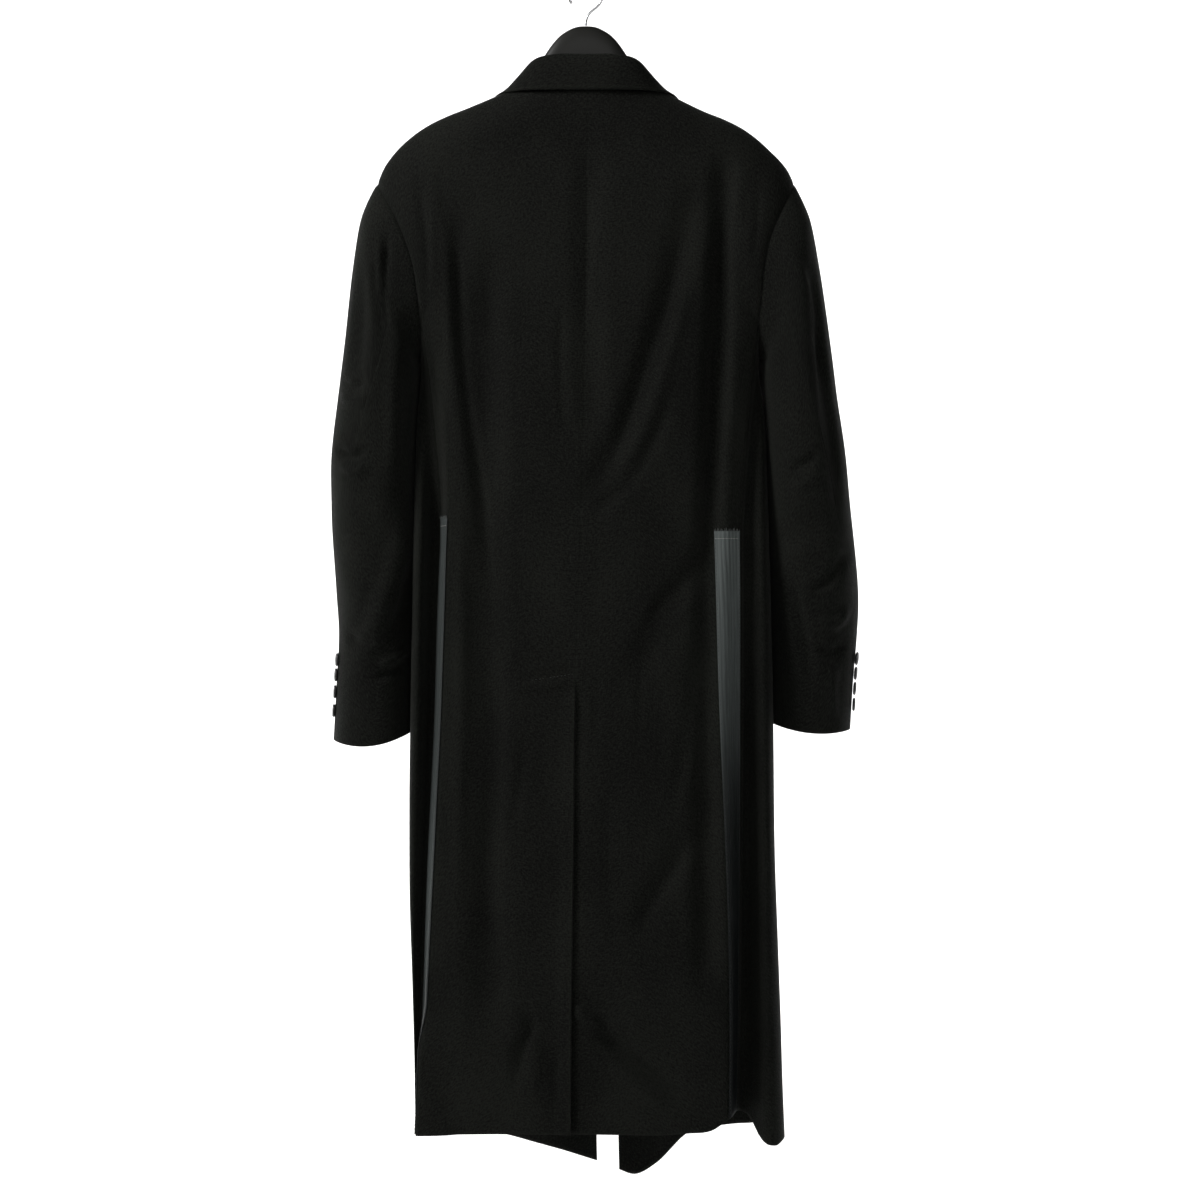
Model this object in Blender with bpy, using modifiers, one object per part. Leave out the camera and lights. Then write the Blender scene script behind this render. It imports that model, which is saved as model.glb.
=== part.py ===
"""A long tailored coat on a black moulded hanger, hanging with its back towards -Y.

Millimetres are used in the tables and turned into metres where a mesh is made.  A place on
the cloth is given by x (to the wearer's right), y (towards the front of the coat) and its
drop, which is how far it lies below the top fold of the collar.  The origin is the inside
top of the hook, where a rail carries it.
"""
import math

import bmesh
import bpy
import numpy as np
from mathutils import Matrix, Vector

# ---------------------------------------------------------------- driving sizes (mm)
MM = 0.001
COLLAR_BELOW_RAIL = 91.0      # from the rail to the top fold of the collar
CLOTH = 1.2                   # thickness of a cloth wall
SEAM_GAP = 0.3                # between two pieces that are sewn together
DEEP_SEAM_GAP = 0.6           # edges at a seam that bends sharply are drawn in by this much
TIP_DROP = 138.0              # shoulder tip
TIP_OUT = 232.0
NECK_OUT = 80.0               # where the shoulder seam meets the collar
RIDGE_Y = -2.0                # the shoulder seam lies just behind the ridge
SHOULDER_ROUND = 45.0         # height over which the shoulder turns down
ARM_MIDDLE = 236.0            # drop of the middle of the armhole
ARM_TALL = 98.0               # half its height
ARM_DEEP = 42.0               # half its depth, front to back
BACK_SPLIT = 129.4            # armhole angles of the two seams beside the side panel
FRONT_SPLIT = 360.0 - BACK_SPLIT
UNDERARM_OUT = 2.2            # under the arm the sleeve starts outside the side panel
ARM_FADE = 70.0               # how far below the armhole its shape dies out
NECK_CURVE = 24.0             # how far the nape lies behind the shoulder seams
BACK_SETTLES = 60.0           # below the shoulder, the back's folds start over this length
FRONT_SETTLES = 80.0          # and the front's over this one
SIDE_FRONT = 128.0            # section angle of the seam between side and front
VENT_DROP = 682.0             # top of the centre vent
UNDERLAP = 1.4                # the underlap lies this far inside the back
UNDERLAP_SHORTER = 2.0        # and its hem this far above the back's
TAPE_THICK = 1.0
TAPE_SHORTER = 1.6            # the tape stops this far short of the seam and the hem
TAPE_TOP = {-1: 512.0, 1: 526.0}
BUTTON_CUFF = 15.0
BUTTON_FRONT = 21.0
WIRE = 3.2                    # hook wire

# Half widths, depths and squareness of the body at each drop.
BODY_COLUMNS = ("drop", "left", "right", "back", "front", "square")
BODY = (
    (100, 262, 262, 31, 33, 4.0),
    (140, 256, 256, 36, 37, 3.8),
    (200, 232, 234, 42, 43, 3.6),
    (260, 205, 211, 46, 47, 3.4),
    (300, 193, 202, 47, 49, 3.3),
    (335, 187, 197, 48, 50, 3.3),
    (420, 188, 200, 51, 53, 3.6),
    (520, 191, 203, 54, 56, 4.2),
    (700, 194, 207, 58, 60, 4.8),
    (900, 194.5, 210.5, 63, 64, 5.2),
    (1100, 190, 217, 68, 67, 5.4),
    (1260, 189, 223, 71, 70, 5.5),
)

# Armhole, seen from behind.
ARMHOLE_COLUMNS = ("drop", "left", "right")
ARMHOLE = (
    (138, 232, 232),
    (148, 227, 228),
    (169, 215, 218),
    (202, 200, 204),
    (230, 191, 198),
    (268, 185, 194),
    (300, 182, 191),
    (334, 184, 193),
)

# Side-back seams, and the deep fold that each lies in: the width of its inner flank, its
# depth at the seam, and how much deeper it gets beyond the seam.
SEAM_COLUMNS = ("drop", "left", "right", "left_flank", "right_flank",
                "left_depth", "right_depth", "left_floor", "right_floor")
SEAM = (
    (300, 182, 191, 26, 28, 0, 0, 0, 0),
    (340, 175, 186, 22, 28, 1, 1, 0, 2),
    (420, 166, 178, 14, 28, 10, 3, 2, 8),
    (520, 160, 171, 9, 29, 26, 5, 4, 10),
    (600, 163, 171, 10, 27, 26, 9, 4, 10),
    (750, 167, 171, 9, 23, 27, 17, 4, 12),
    (880, 173, 170, 9, 17, 27, 23, 4, 14),
    (1040, 178, 168, 6, 11, 28, 26, 4, 14),
    (1190, 182, 165, 5, 9, 28, 27, 4, 12),
)
FOLD_FLOOR = 5.0              # width of the deep fold's floor, beyond the seam
FOLD_OUTER = 0.72             # share of the way to the side that its outer flank takes

# Shoulder and neck line: drop of each side at a distance from the middle.
SHOULDER_COLUMNS = ("out", "left", "right")
SHOULDER = (
    (0, 31, 31), (30, 30.5, 30.5), (60, 30, 30), (80, 32, 32), (92, 37, 38), (108, 44, 46),
    (132, 54, 57.5), (156, 63.5, 67), (177, 74, 78), (193, 85, 90), (206, 96.5, 102),
    (217, 109, 113), (226, 123, 125), (232, 138, 138),
)

# Centre seam of the back, and the two front edges, as x at each drop.
CENTRE = ((34, 3), (300, 1), (682, -9), (780, -14), (900, -16), (1040, -19), (1190, -21))
FRONT_EDGE_COLUMNS = ("drop", "left", "right")
FRONT_EDGE = (
    (36, -80, 80), (70, -79, 79), (110, -71, 71), (200, -51, 52), (300, -32, 35),
    (400, -15, 20), (470, -8, 15), (600, -4, 19), (800, 2, 26), (1000, 8, 32), (1260, 13, 38),
)

# Hems: drop at x (back and fronts) or across the side panel from back to front.
BACK_HEM = ((-183, 1187), (-120, 1185), (0, 1185), (110, 1184), (140, 1180), (158, 1168),
            (166, 1165))
SIDE_HEM = {-1: ((0, 1187), (0.3, 1189), (1, 1196)),
            1: ((0, 1165), (0.08, 1171), (0.16, 1192), (0.3, 1200), (0.45, 1196), (1, 1196))}
FRONT_HEM = {-1: ((-200, 1196), (-140, 1203), (-84, 1213), (14, 1242)),
             1: ((36, 1251), (56, 1257), (80, 1244), (112, 1211), (160, 1200), (225, 1196))}

# Folds: name, line as x at each drop, half width, and depth (ridges are below 0).
BACK_FOLDS = (
    ("left soft valley", ((240, -110), (600, -109), (1060, -106)), 20, 7),
    ("right valley", ((120, 153), (312, 146), (518, 136), (1010, 132)), 14, 9),
    ("centre valley", ((110, 4), (300, 3), (420, 8)), 16, 4),
    ("diagonal below shoulder", ((150, 122), (378, 60), (490, 10)), 20, 5),
    ("left armhole ridge", ((150, -166), (250, -158), (380, -140)), 14, -4),
    ("waist curve", ((540, 130), (600, 105), (690, 50)), 22, 4),
    ("skirt curve", ((840, 122), (900, 90), (960, 66)), 20, 4),
    ("hem wrinkle", ((1030, 4), (1104, 60), (1160, 120)), 18, 4),
)
FRONT_FOLDS = (
    ("left chest drape", ((120, -150), (420, -128), (900, -112)), 22, 6),
    ("left skirt drape", ((640, -70), (900, -62), (1230, -54)), 26, 7),
    ("right chest drape", ((130, 148), (400, 130), (860, 122)), 24, 6),
    ("right skirt drape", ((560, 92), (900, 96), (1240, 100)), 24, 9),
)
FOLD_FADE = 70.0              # a fold grows and dies over this length
FOLD_SOFT = 1.6               # and spreads this many half widths to each side

# Sleeves: outer and inner lines, half depth, middle, and how far the ring has turned.
SLEEVE_COLUMNS = ("along", "outer", "outer_drop", "inner", "inner_drop", "deep", "middle", "turn")
SLEEVE = {
    -1: (
        (0.00, 232, 138, 184, 334, 42, 0, 0),
        (0.05, 241, 154, 189, 337, 46, 1, 0),
        (0.12, 250, 178, 191, 344, 51, 3, 2),
        (0.22, 259, 230, 192, 368, 56, 5, 8),
        (0.34, 268, 312, 190, 414, 60, 7, 18),
        (0.48, 279, 410, 191.6, 478, 60, 10, 34),
        (0.62, 284, 505, 193.8, 555, 57, 15, 52),
        (0.74, 279, 590, 194.8, 620, 54, 20, 66),
        (0.84, 276, 644, 195.6, 668, 52, 24, 76),
        (0.92, 279, 698, 196.2, 712, 51, 27, 82),
        (1.00, 283, 768, 196.6, 760, 50, 30, 86),
    ),
    1: (
        (0.00, 232, 138, 193, 334, 42, 0, 0),
        (0.05, 241, 154, 199, 337, 46, 1, 0),
        (0.12, 250, 178, 202, 344, 51, 3, 2),
        (0.22, 260, 230, 204, 368, 56, 5, 8),
        (0.34, 272, 312, 201.8, 414, 60, 7, 18),
        (0.48, 284, 405, 203.5, 474, 60, 10, 34),
        (0.62, 297, 510, 205.6, 550, 58, 15, 52),
        (0.74, 305, 594, 207.2, 614, 55, 20, 66),
        (0.84, 304, 643, 208.2, 661, 53, 24, 76),
        (0.92, 300, 695, 209.2, 704, 51, 27, 82),
        (1.00, 297, 753, 210, 747, 50, 30, 86),
    ),
}
SLEEVE_FULL = 2.4             # squareness of a sleeve's section
HIND_SEAM = 7                 # of the sleeve's 24 columns
FORE_SEAM = 17
SLEEVE_EASE = 0.12            # share of its length in which it leaves the armhole's shape

# Swells and hollows of the sleeve: place along it, angle, half height, half width in
# degrees, and depth (swells are below 0).  The last two hang against the coat's side.
SLEEVE_SWELLS = (
    (0.30, 60, 0.16, 26, 6),
    (0.52, 40, 0.10, 55, -4),
    (0.60, 95, 0.05, 60, 4),
    (0.72, 80, 0.06, 60, -4),
    (0.16, 220, 0.13, 48, -13),
    (0.27, 218, 0.16, 48, -9),
)

# Collar guide lines from the middle of the back to the front end.
COLLAR_FOLD = 0.45            # share of the way from neck seam to edge where it folds
COLLAR_ROLL = 2.4             # how far stand and fall bow out
COLLAR_COLUMNS = ("round", "seam_x", "seam_y", "seam_drop", "fold_x", "fold_y", "fold_drop",
                  "edge_x", "edge_y", "edge_drop")
COLLAR = (
    (0.00, 0, -26, 29.5, 0, -30, -2.5, 0, -34, 37.5),
    (0.20, 32, -22, 29, 33, -29, -2.5, 38, -33, 37),
    (0.35, 56, -14, 29, 54, -24, 1.5, 64, -28, 36),
    (0.48, 75, -5, 30, 66, -12, 10.5, 82, -18, 33),
    (0.60, 77.5, 4, 32.5, 72, 2, 21.5, 96, -4, 33.5),
    (0.74, 76.5, 17, 43.5, 75, 15, 34.5, 107, 12, 38.5),
    (0.88, 73.5, 31, 60.5, 75, 31, 51.5, 110, 37, 54.5),
    (1.00, 69, 40, 76.5, 73, 45, 69.5, 104, 49, 78.5),
)

# Lapel: from the break to the gorge, its width and its outer edge's drop.
LAPEL_COLUMNS = ("up", "roll_drop", "edge_drop", "width")
LAPEL = (
    (0.00, 470, 474, 3),
    (0.15, 408, 416, 26),
    (0.35, 326, 338, 52),
    (0.60, 226, 240, 74),
    (0.85, 126, 148, 90),
    (1.00, 88, 108, 95),
)

# Hanger sections from the middle outwards: top, bottom and half thickness.
HANGER_COLUMNS = ("out", "top", "bottom", "half")
HANGER = (
    (0, -39, 44, 8), (8, -38.6, 45, 8), (19, -34.6, 47, 8), (31, -26, 50, 8), (40, -15, 54, 7.5),
    (47, -4, 58, 7), (54, 10, 62, 6.5), (60, 22, 66, 6.5), (66, 32.5, 69, 7.5), (74, 34.5, 73, 9),
    (92, 39.6, 82, 13), (116, 51.8, 92, 16), (144, 64, 103, 18), (166, 74.4, 113, 17),
    (178, 82, 116, 13), (184, 90, 112, 7),
)

# ---------------------------------------------------------------- helpers


def follow(rows, at):
    """Smooth value through rows of (place, value), held level beyond both ends."""
    place = np.array([row[0] for row in rows], float)
    value = np.array([row[1] for row in rows], float)
    slope = np.gradient(value, place)
    at = np.clip(np.asarray(at, float), place[0], place[-1])
    index = np.clip(np.searchsorted(place, at, side="right") - 1, 0, len(place) - 2)
    step = place[index + 1] - place[index]
    u = (at - place[index]) / step
    start = (2 * u**3 - 3 * u**2 + 1) * value[index]
    leave = (u**3 - 2 * u**2 + u) * slope[index] * step
    end = (3 * u**2 - 2 * u**3) * value[index + 1]
    arrive = (u**3 - u**2) * slope[index + 1] * step
    return start + leave + end + arrive


def column(table, columns, name, at):
    """Read one named column of a table whose first column is the place."""
    index = columns.index(name)
    return follow([(row[0], row[index]) for row in table], at)


def smooth(value):
    value = np.clip(value, 0.0, 1.0)
    return value * value * (3.0 - 2.0 * value)


def bell(value):
    """1 at 0, falling smoothly to 0 at 1 and -1."""
    return 0.5 + 0.5 * np.cos(np.pi * np.clip(np.abs(value), 0.0, 1.0))


def mix(start, end, share):
    return start + (end - start) * share


def side_name(side):
    return "left" if side < 0 else "right"


def body(name, drop):
    return column(BODY, BODY_COLUMNS, name, drop)


def half_width(side, drop):
    return body(side_name(side), drop)


def shoulder(side, out):
    return column(SHOULDER, SHOULDER_COLUMNS, side_name(side), out)


def armhole_out(side, drop):
    return column(ARMHOLE, ARMHOLE_COLUMNS, side_name(side), drop)


def seam(name, drop):
    return column(SEAM, SEAM_COLUMNS, name, drop)


def seam_out(side, drop):
    return seam(side_name(side), drop)


def front_edge(side, drop):
    """x of the front edge, or of the roll line above the break."""
    return column(FRONT_EDGE, FRONT_EDGE_COLUMNS, side_name(side), drop)


def armhole(side, angle):
    """Point of the armhole, 0 at the shoulder tip and 90 at the back: out, y, drop."""
    turn = np.radians(angle)
    drop = ARM_MIDDLE - ARM_TALL * np.cos(turn)
    return armhole_out(side, drop), -ARM_DEEP * np.sin(turn), drop


ARM_END = float(ARM_MIDDLE - ARM_TALL * math.cos(math.radians(BACK_SPLIT)))


def fullness(side, out, drop):
    """How much of its full depth the body has at a distance from the middle."""
    square = body("square", drop)
    share = np.clip(np.abs(out) / half_width(side, drop), 0.0, 1.0)
    return np.clip(1.0 - share**square, 0.0, 1.0) ** (1.0 / square)


def deep_fold(side, out, drop):
    """The deep fold at the side-back seam, as a distance towards the front."""
    name = side_name(side)
    seam_at = seam_out(side, drop)
    depth = seam(name + "_depth", drop)
    inner = depth * bell((out - seam_at) / np.maximum(seam(name + "_flank", drop), 1.0))
    outer_width = FOLD_OUTER * (half_width(side, drop) - seam_at)
    beyond = np.maximum(out - seam_at - FOLD_FLOOR, 0.0)
    deeper = depth + seam(name + "_floor", drop) * smooth((out - seam_at) / FOLD_FLOOR)
    outer = deeper * bell(beyond / np.maximum(outer_width, 1.0))
    return np.where(out <= seam_at, inner, outer)


def folds(table, x, drop):
    """Sum of the soft folds at a place, as a distance into the body."""
    total = np.zeros_like(x)
    for _name, line, half, depth in table:
        centre = follow(line, drop)
        first = line[0][0]
        last = line[-1][0]
        grow = smooth((drop - first) / FOLD_FADE + 0.5) * smooth((last - drop) / FOLD_FADE + 0.5)
        total = total + depth * grow * bell((x - centre) / (half * FOLD_SOFT))
    return total


def neck_y(out):
    """The neck edge runs from the nape forward to the shoulder seam."""
    return RIDGE_Y - NECK_CURVE * np.clip(1.0 - (out / NECK_OUT) ** 2, 0.0, 1.0)


def shoulder_rise(below):
    """How far the shoulder has turned down, 0 on the ridge and 1 on the flat."""
    left = 1.0 - np.clip(below / SHOULDER_ROUND, 0.0, 1.0)
    return np.sqrt(np.clip(1.0 - left * left, 0.0, 1.0))


# ---------------------------------------------------------------- body surfaces


def seam_y(side, drop):
    """y of the side-back seam, which leaves the armhole smoothly."""
    out = seam_out(side, drop)
    plain = -body("back", drop) * fullness(side, out, drop) + deep_fold(side, out, drop)
    start_out = seam_out(side, ARM_END)
    start = -body("back", ARM_END) * fullness(side, start_out, ARM_END)
    arm_y = armhole(side, BACK_SPLIT)[1]
    return plain + (arm_y - start) * (1.0 - smooth((drop - ARM_END) / ARM_FADE))


def section(side, angle, drop):
    """Body section: 0 at the middle of the back, 90 at the side, 180 in front."""
    square = body("square", drop)
    turn = np.radians(angle)
    out = half_width(side, drop) * np.abs(np.sin(turn)) ** (2.0 / square)
    share = np.abs(np.cos(turn)) ** (2.0 / square)
    behind = -body("back", drop) * share + deep_fold(side, out, drop) * (share > 0)
    ahead = body("front", drop) * share
    return out, np.where(np.asarray(angle) < 90.0, behind, ahead)


def side_front(side, drop):
    """Seam between the side panel and the front, below the armhole."""
    out, y = section(side, SIDE_FRONT, drop)
    start_out, start_y = section(side, SIDE_FRONT, ARM_END)
    arm_out, arm_y, _ = armhole(side, FRONT_SPLIT)
    left = 1.0 - smooth((drop - ARM_END) / ARM_FADE)
    return out + (arm_out - start_out) * left, y + (arm_y - start_y) * left


def arm_edge_y(side, drop, front):
    """y of the armhole edge at a drop, behind or in front."""
    lean = np.clip((ARM_MIDDLE - drop) / ARM_TALL, -1.0, 1.0)
    y = ARM_DEEP * np.sqrt(np.clip(1.0 - lean * lean, 0.0, 1.0))
    return y if front else -y


def back_surface(side, across, down):
    """Half of the back: across 0 centre seam, 1 tape edge, 2 side seam; down 0 to 1."""
    hem_edge = SIDE_HEM[side][0][1]
    edge_drop = mix(TIP_DROP, hem_edge, down)
    edge = np.where(edge_drop < ARM_END, armhole_out(side, edge_drop), seam_out(side, edge_drop))

    def spread(outer, at_drop):
        flank = seam(side_name(side) + "_flank", at_drop)
        centre = side * follow(CENTRE, at_drop)
        inner = mix(centre, outer - flank, np.clip(across, None, 1.0))
        return inner + flank * np.clip(across - 1.0, 0.0, 1.0)

    out = spread(edge, edge_drop)
    top_share = out / edge
    top = shoulder(side, np.abs(top_share) * TIP_OUT)
    hem = follow(BACK_HEM, side * spread(seam_out(side, hem_edge), hem_edge))
    drop = mix(top, hem, down)
    below = drop - top
    neck = neck_y(np.abs(top_share) * TIP_OUT)

    def depth(at, at_drop):
        plain = -body("back", at_drop) * fullness(side, at, at_drop)
        return plain + deep_fold(side, at, at_drop)

    y = mix(neck, depth(out, drop), shoulder_rise(below))
    y = y + folds(BACK_FOLDS, side * out, drop) * smooth(below / BACK_SETTLES)
    edge_now = mix(RIDGE_Y, depth(edge, edge_drop), shoulder_rise(edge_drop - TIP_DROP))
    edge_wanted = np.where(edge_drop < ARM_END, arm_edge_y(side, edge_drop, False),
                           seam_y(side, edge_drop))
    edge_folds = (folds(BACK_FOLDS, side * edge, edge_drop)
                  * smooth((edge_drop - TIP_DROP) / BACK_SETTLES))
    weight = smooth((across - 0.55) / 1.45)
    y = y + (edge_wanted - edge_now - edge_folds) * weight
    return np.stack([side * out, y, drop], axis=-1)


def side_surface(side, across, down):
    """Side panel under the arm: across 0 side-back seam, 1 side-front seam."""
    angle = mix(BACK_SPLIT, FRONT_SPLIT, across)
    arm_out, arm_y, top = armhole(side, angle)
    drop = mix(top, follow(SIDE_HEM[side], across), down)

    def on_section(at_drop):
        share = seam_out(side, at_drop) / half_width(side, at_drop)
        first = np.degrees(np.arcsin(np.clip(share, 0.0, 1.0) ** (body("square", at_drop) / 2.0)))
        return section(side, mix(first, SIDE_FRONT, across), at_drop)

    out, y = on_section(drop)
    start_out, start_y = on_section(top)
    left = 1.0 - smooth((drop - top) / ARM_FADE)
    out = out + (arm_out - start_out) * left
    y = y + (arm_y - start_y) * left
    return np.stack([side * out, y, drop], axis=-1)


def front_surface(side, across, down):
    """Half of the front: across 0 side-front seam, 1 front edge or roll line."""
    side_hem = SIDE_HEM[side][-1][1]
    edge_drop = mix(TIP_DROP, side_hem, down)
    low_out, low_y = side_front(side, edge_drop)
    outer = np.where(edge_drop < ARM_END, armhole_out(side, edge_drop), low_out)
    top_out = mix(TIP_OUT, NECK_OUT, across)
    top = shoulder(side, top_out)
    inner_hem = follow(FRONT_HEM[side], front_edge(side, FRONT_EDGE[-1][0]))
    inner_drop = mix(shoulder(side, NECK_OUT), inner_hem, down)
    inner = side * front_edge(side, inner_drop)
    out = mix(outer, inner, across)
    low_edge = side_front(side, side_hem)[0]
    low_inner = side * front_edge(side, inner_hem)
    hem = follow(FRONT_HEM[side], side * mix(low_edge, low_inner, across))
    hem = mix(side_hem, hem, smooth(across / 0.12))
    drop = mix(top, hem, down)
    below = drop - top
    y = mix(RIDGE_Y, body("front", drop) * fullness(side, out, drop), shoulder_rise(below))
    y = y - folds(FRONT_FOLDS, side * out, drop) * smooth(below / FRONT_SETTLES)
    full = body("front", edge_drop) * fullness(side, outer, edge_drop)
    edge_now = mix(RIDGE_Y, full, shoulder_rise(edge_drop - TIP_DROP))
    edge_now = edge_now - (folds(FRONT_FOLDS, side * outer, edge_drop)
                           * smooth((edge_drop - TIP_DROP) / FRONT_SETTLES))
    edge_wanted = np.where(edge_drop < ARM_END, arm_edge_y(side, edge_drop, True), low_y)
    y = y + (edge_wanted - edge_now) * smooth(1.0 - across / 0.7)
    return np.stack([side * out, y, drop], axis=-1)


def sleeve_surface(side, angle_top, angle_even, along):
    """Point of a sleeve tube: angles at the armhole and further down."""
    table = SLEEVE[side]

    def read(name):
        return column(table, SLEEVE_COLUMNS, name, along)

    angle = mix(angle_top, angle_even, smooth(along / 0.4)) - read("turn")
    turn = np.radians(angle)
    power = 2.0 / SLEEVE_FULL
    swing = np.sign(np.cos(turn)) * np.abs(np.cos(turn)) ** power
    lift = np.sign(np.sin(turn)) * np.abs(np.sin(turn)) ** power
    bulge = np.zeros_like(along)
    for place, at, tall, wide, depth in SLEEVE_SWELLS:
        apart = (angle - at + 180.0) % 360.0 - 180.0
        bulge = bulge + depth * bell((along - place) / tall) * bell(apart / wide)
    half = 0.5 * (read("outer") - read("inner")) - bulge
    deep = read("deep") - bulge
    out = 0.5 * (read("outer") + read("inner")) + half * swing
    drop_mid = 0.5 * (read("outer_drop") + read("inner_drop"))
    drop = drop_mid + 0.5 * (read("outer_drop") - read("inner_drop")) * swing
    y = read("middle") - deep * lift
    arm_out, arm_y, arm_drop = armhole(side, angle_top)
    arm_out = arm_out + UNDERARM_OUT * bell((angle_top % 360.0 - 180.0) / 90.0)
    free = smooth(along / SLEEVE_EASE)
    out = mix(arm_out, out, free)
    y = mix(arm_y, y, free)
    drop = mix(arm_drop, drop, free)
    return np.stack([side * out, y, drop], axis=-1)


def collar_surface(side_round, over):
    """Collar: round -1 to 1 past the nape at 0, over 0 at the neck seam to 1 at the edge."""
    far = np.abs(side_round)
    side = np.where(side_round < 0, -1.0, 1.0)

    def line(name):
        parts = [column(COLLAR, COLLAR_COLUMNS, name + end, far) for end in ("_x", "_y", "_drop")]
        return np.stack(parts, axis=-1)

    seam_line = line("seam")
    fold_line = line("fold")
    edge_line = line("edge")
    up = np.clip(over / COLLAR_FOLD, 0.0, 1.0)[..., None]
    down = np.clip((over - COLLAR_FOLD) / (1.0 - COLLAR_FOLD), 0.0, 1.0)[..., None]
    point = mix(mix(seam_line, fold_line, up), edge_line, down)
    away = edge_line - seam_line
    away[..., 2] = 0.0
    away = away / np.maximum(np.linalg.norm(away, axis=-1, keepdims=True), 1e-6)
    roll = COLLAR_ROLL * (bell((over - 0.62) / 0.3) - bell((over - 0.28) / 0.25))
    point = point + away * roll[..., None]
    point[..., 0] = point[..., 0] * side
    return point


def front_at(side, out, drop):
    """y of the front panel at a distance from the middle and a drop, found by closing in."""
    across = np.full_like(out, 0.8)
    down = np.clip((drop - TIP_DROP) / 1060.0, 0.0, 1.0)
    for _ in range(12):
        point = front_surface(side, across, down)
        across = np.clip(across - (out - side * point[..., 0]) / 150.0, 0.0, 1.0)
        down = np.clip(down + (drop - point[..., 2]) / 1150.0, 0.0, 1.0)
    return front_surface(side, across, down)[..., 1]


def lapel_surface(side, up, over):
    """Lapel: up 0 at the break to 1 at the gorge, over 0 roll line to 1 outer edge."""
    roll_drop = column(LAPEL, LAPEL_COLUMNS, "roll_drop", up)
    edge_drop = column(LAPEL, LAPEL_COLUMNS, "edge_drop", up)
    width = column(LAPEL, LAPEL_COLUMNS, "width", up)
    roll = side * front_edge(side, roll_drop)
    drop = mix(roll_drop, edge_drop, over)
    out = roll + 0.4 + width * over
    stand_off = 2.3 + 4.0 * bell((over - 0.25) / 0.6) * smooth(up / 0.2)
    y = front_at(side, out, drop) + stand_off
    return np.stack([side * out, y, drop], axis=-1)


# ---------------------------------------------------------------- making meshes


def normals(points):
    """Unit normals of a grid of points."""
    across = np.gradient(points, axis=1)
    down = np.gradient(points, axis=0)
    normal = np.cross(across, down)
    return normal / np.maximum(np.linalg.norm(normal, axis=-1, keepdims=True), 1e-9)


def draw_in(points, edges, gap):
    """Draw the named edges of a grid back along the cloth."""
    moved = points.copy()
    pairs = {"first": (0, 1), "last": (-1, -2)}
    for edge in edges:
        along, end = edge.split("_")
        outer, inner = pairs[end]
        if along == "column":
            step = points[:, inner] - points[:, outer]
            length = np.maximum(np.linalg.norm(step, axis=-1, keepdims=True), 1e-6)
            moved[:, outer] = moved[:, outer] + step / length * gap
        else:
            step = points[inner] - points[outer]
            length = np.maximum(np.linalg.norm(step, axis=-1, keepdims=True), 1e-6)
            moved[outer] = moved[outer] + step / length * gap
    return moved


def place(point):
    """A point in mm (x, y, drop) as a vector in metres."""
    return Vector((point[0] * MM, point[1] * MM, -(COLLAR_BELOW_RAIL + point[2]) * MM))


def material(name, colour, roughness, metallic=0.0):
    made = bpy.data.materials.new(name)
    made.use_nodes = True
    shader = made.node_tree.nodes["Principled BSDF"]
    shader.inputs["Base Color"].default_value = (*colour, 1.0)
    shader.inputs["Roughness"].default_value = roughness
    shader.inputs["Metallic"].default_value = metallic
    return made


def add_object(name, mesh, finish):
    made = bpy.data.objects.new(name, mesh)
    mesh.materials.append(finish)
    coat.objects.link(made)
    return made


def grid_mesh(name, points, close=False):
    """Mesh of a grid of points, with its last column joined to its first if closed."""
    rows, columns = points.shape[:2]
    shape = bmesh.new()
    bmesh.ops.create_grid(shape, x_segments=columns - 1, y_segments=rows - 1, size=0.5)
    shape.verts.ensure_lookup_table()
    for index, vertex in enumerate(shape.verts):
        vertex.co = place(points[index // columns, index % columns])
    if close:
        bmesh.ops.remove_doubles(shape, verts=shape.verts, dist=0.00005)
    for face in shape.faces:
        face.smooth = True
    mesh = bpy.data.meshes.new(name)
    shape.to_mesh(mesh)
    shape.free()
    return mesh


def cloth_wall(name, points, finish, thick=CLOTH):
    """A piece of cloth: a grid of points with an even thickness."""
    made = add_object(name, grid_mesh(name, points), finish)
    wall = made.modifiers.new("wall", "SOLIDIFY")
    wall.thickness = thick * MM
    wall.offset = 0.0
    wall.use_even_offset = True
    wall.thickness_clamp = 0.0
    return made


def grid(across, down):
    """Two arrays that hold every pair of across and down."""
    return np.meshgrid(np.array(across, float), np.array(down, float))


# Columns and rows.  The first rows of back and front end at the armhole's own points.
ARM_ANGLES = (0, 9, 18, 28, 42, 60, 80, 105, BACK_SPLIT)
ARM_ROWS = [(ARM_MIDDLE - ARM_TALL * math.cos(math.radians(a)) - TIP_DROP) for a in ARM_ANGLES]
SKIRT_DROPS = (340, 385, 430, 475, 520, 575, 630, 690, 760, 830, 900, 970, 1035, 1095, 1145)
BACK_ACROSS = (0, 0.12, 0.24, 0.36, 0.49, 0.61, 0.72, 0.82, 0.91, 1, 1.25, 1.5, 1.75, 2)
SIDE_ACROSS = (0, 0.06, 0.14, 0.26, 0.4, 0.55, 0.7, 0.85, 1)
FRONT_ACROSS = (0, 0.1, 0.22, 0.34, 0.46, 0.58, 0.7, 0.85, 1)
SLEEVE_ALONG = (0, 0.04, 0.09, 0.15, 0.22, 0.3, 0.38, 0.46, 0.54, 0.62, 0.7, 0.78, 0.86, 0.93, 1)
ELBOW_ROW = 7


def panel_rows(hem):
    """Shares down a panel whose outer edge runs from the shoulder tip to its hem."""
    length = hem - TIP_DROP
    arm = [row / length for row in ARM_ROWS]
    return arm + [(drop - TIP_DROP) / length for drop in SKIRT_DROPS] + [1.0]


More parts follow.
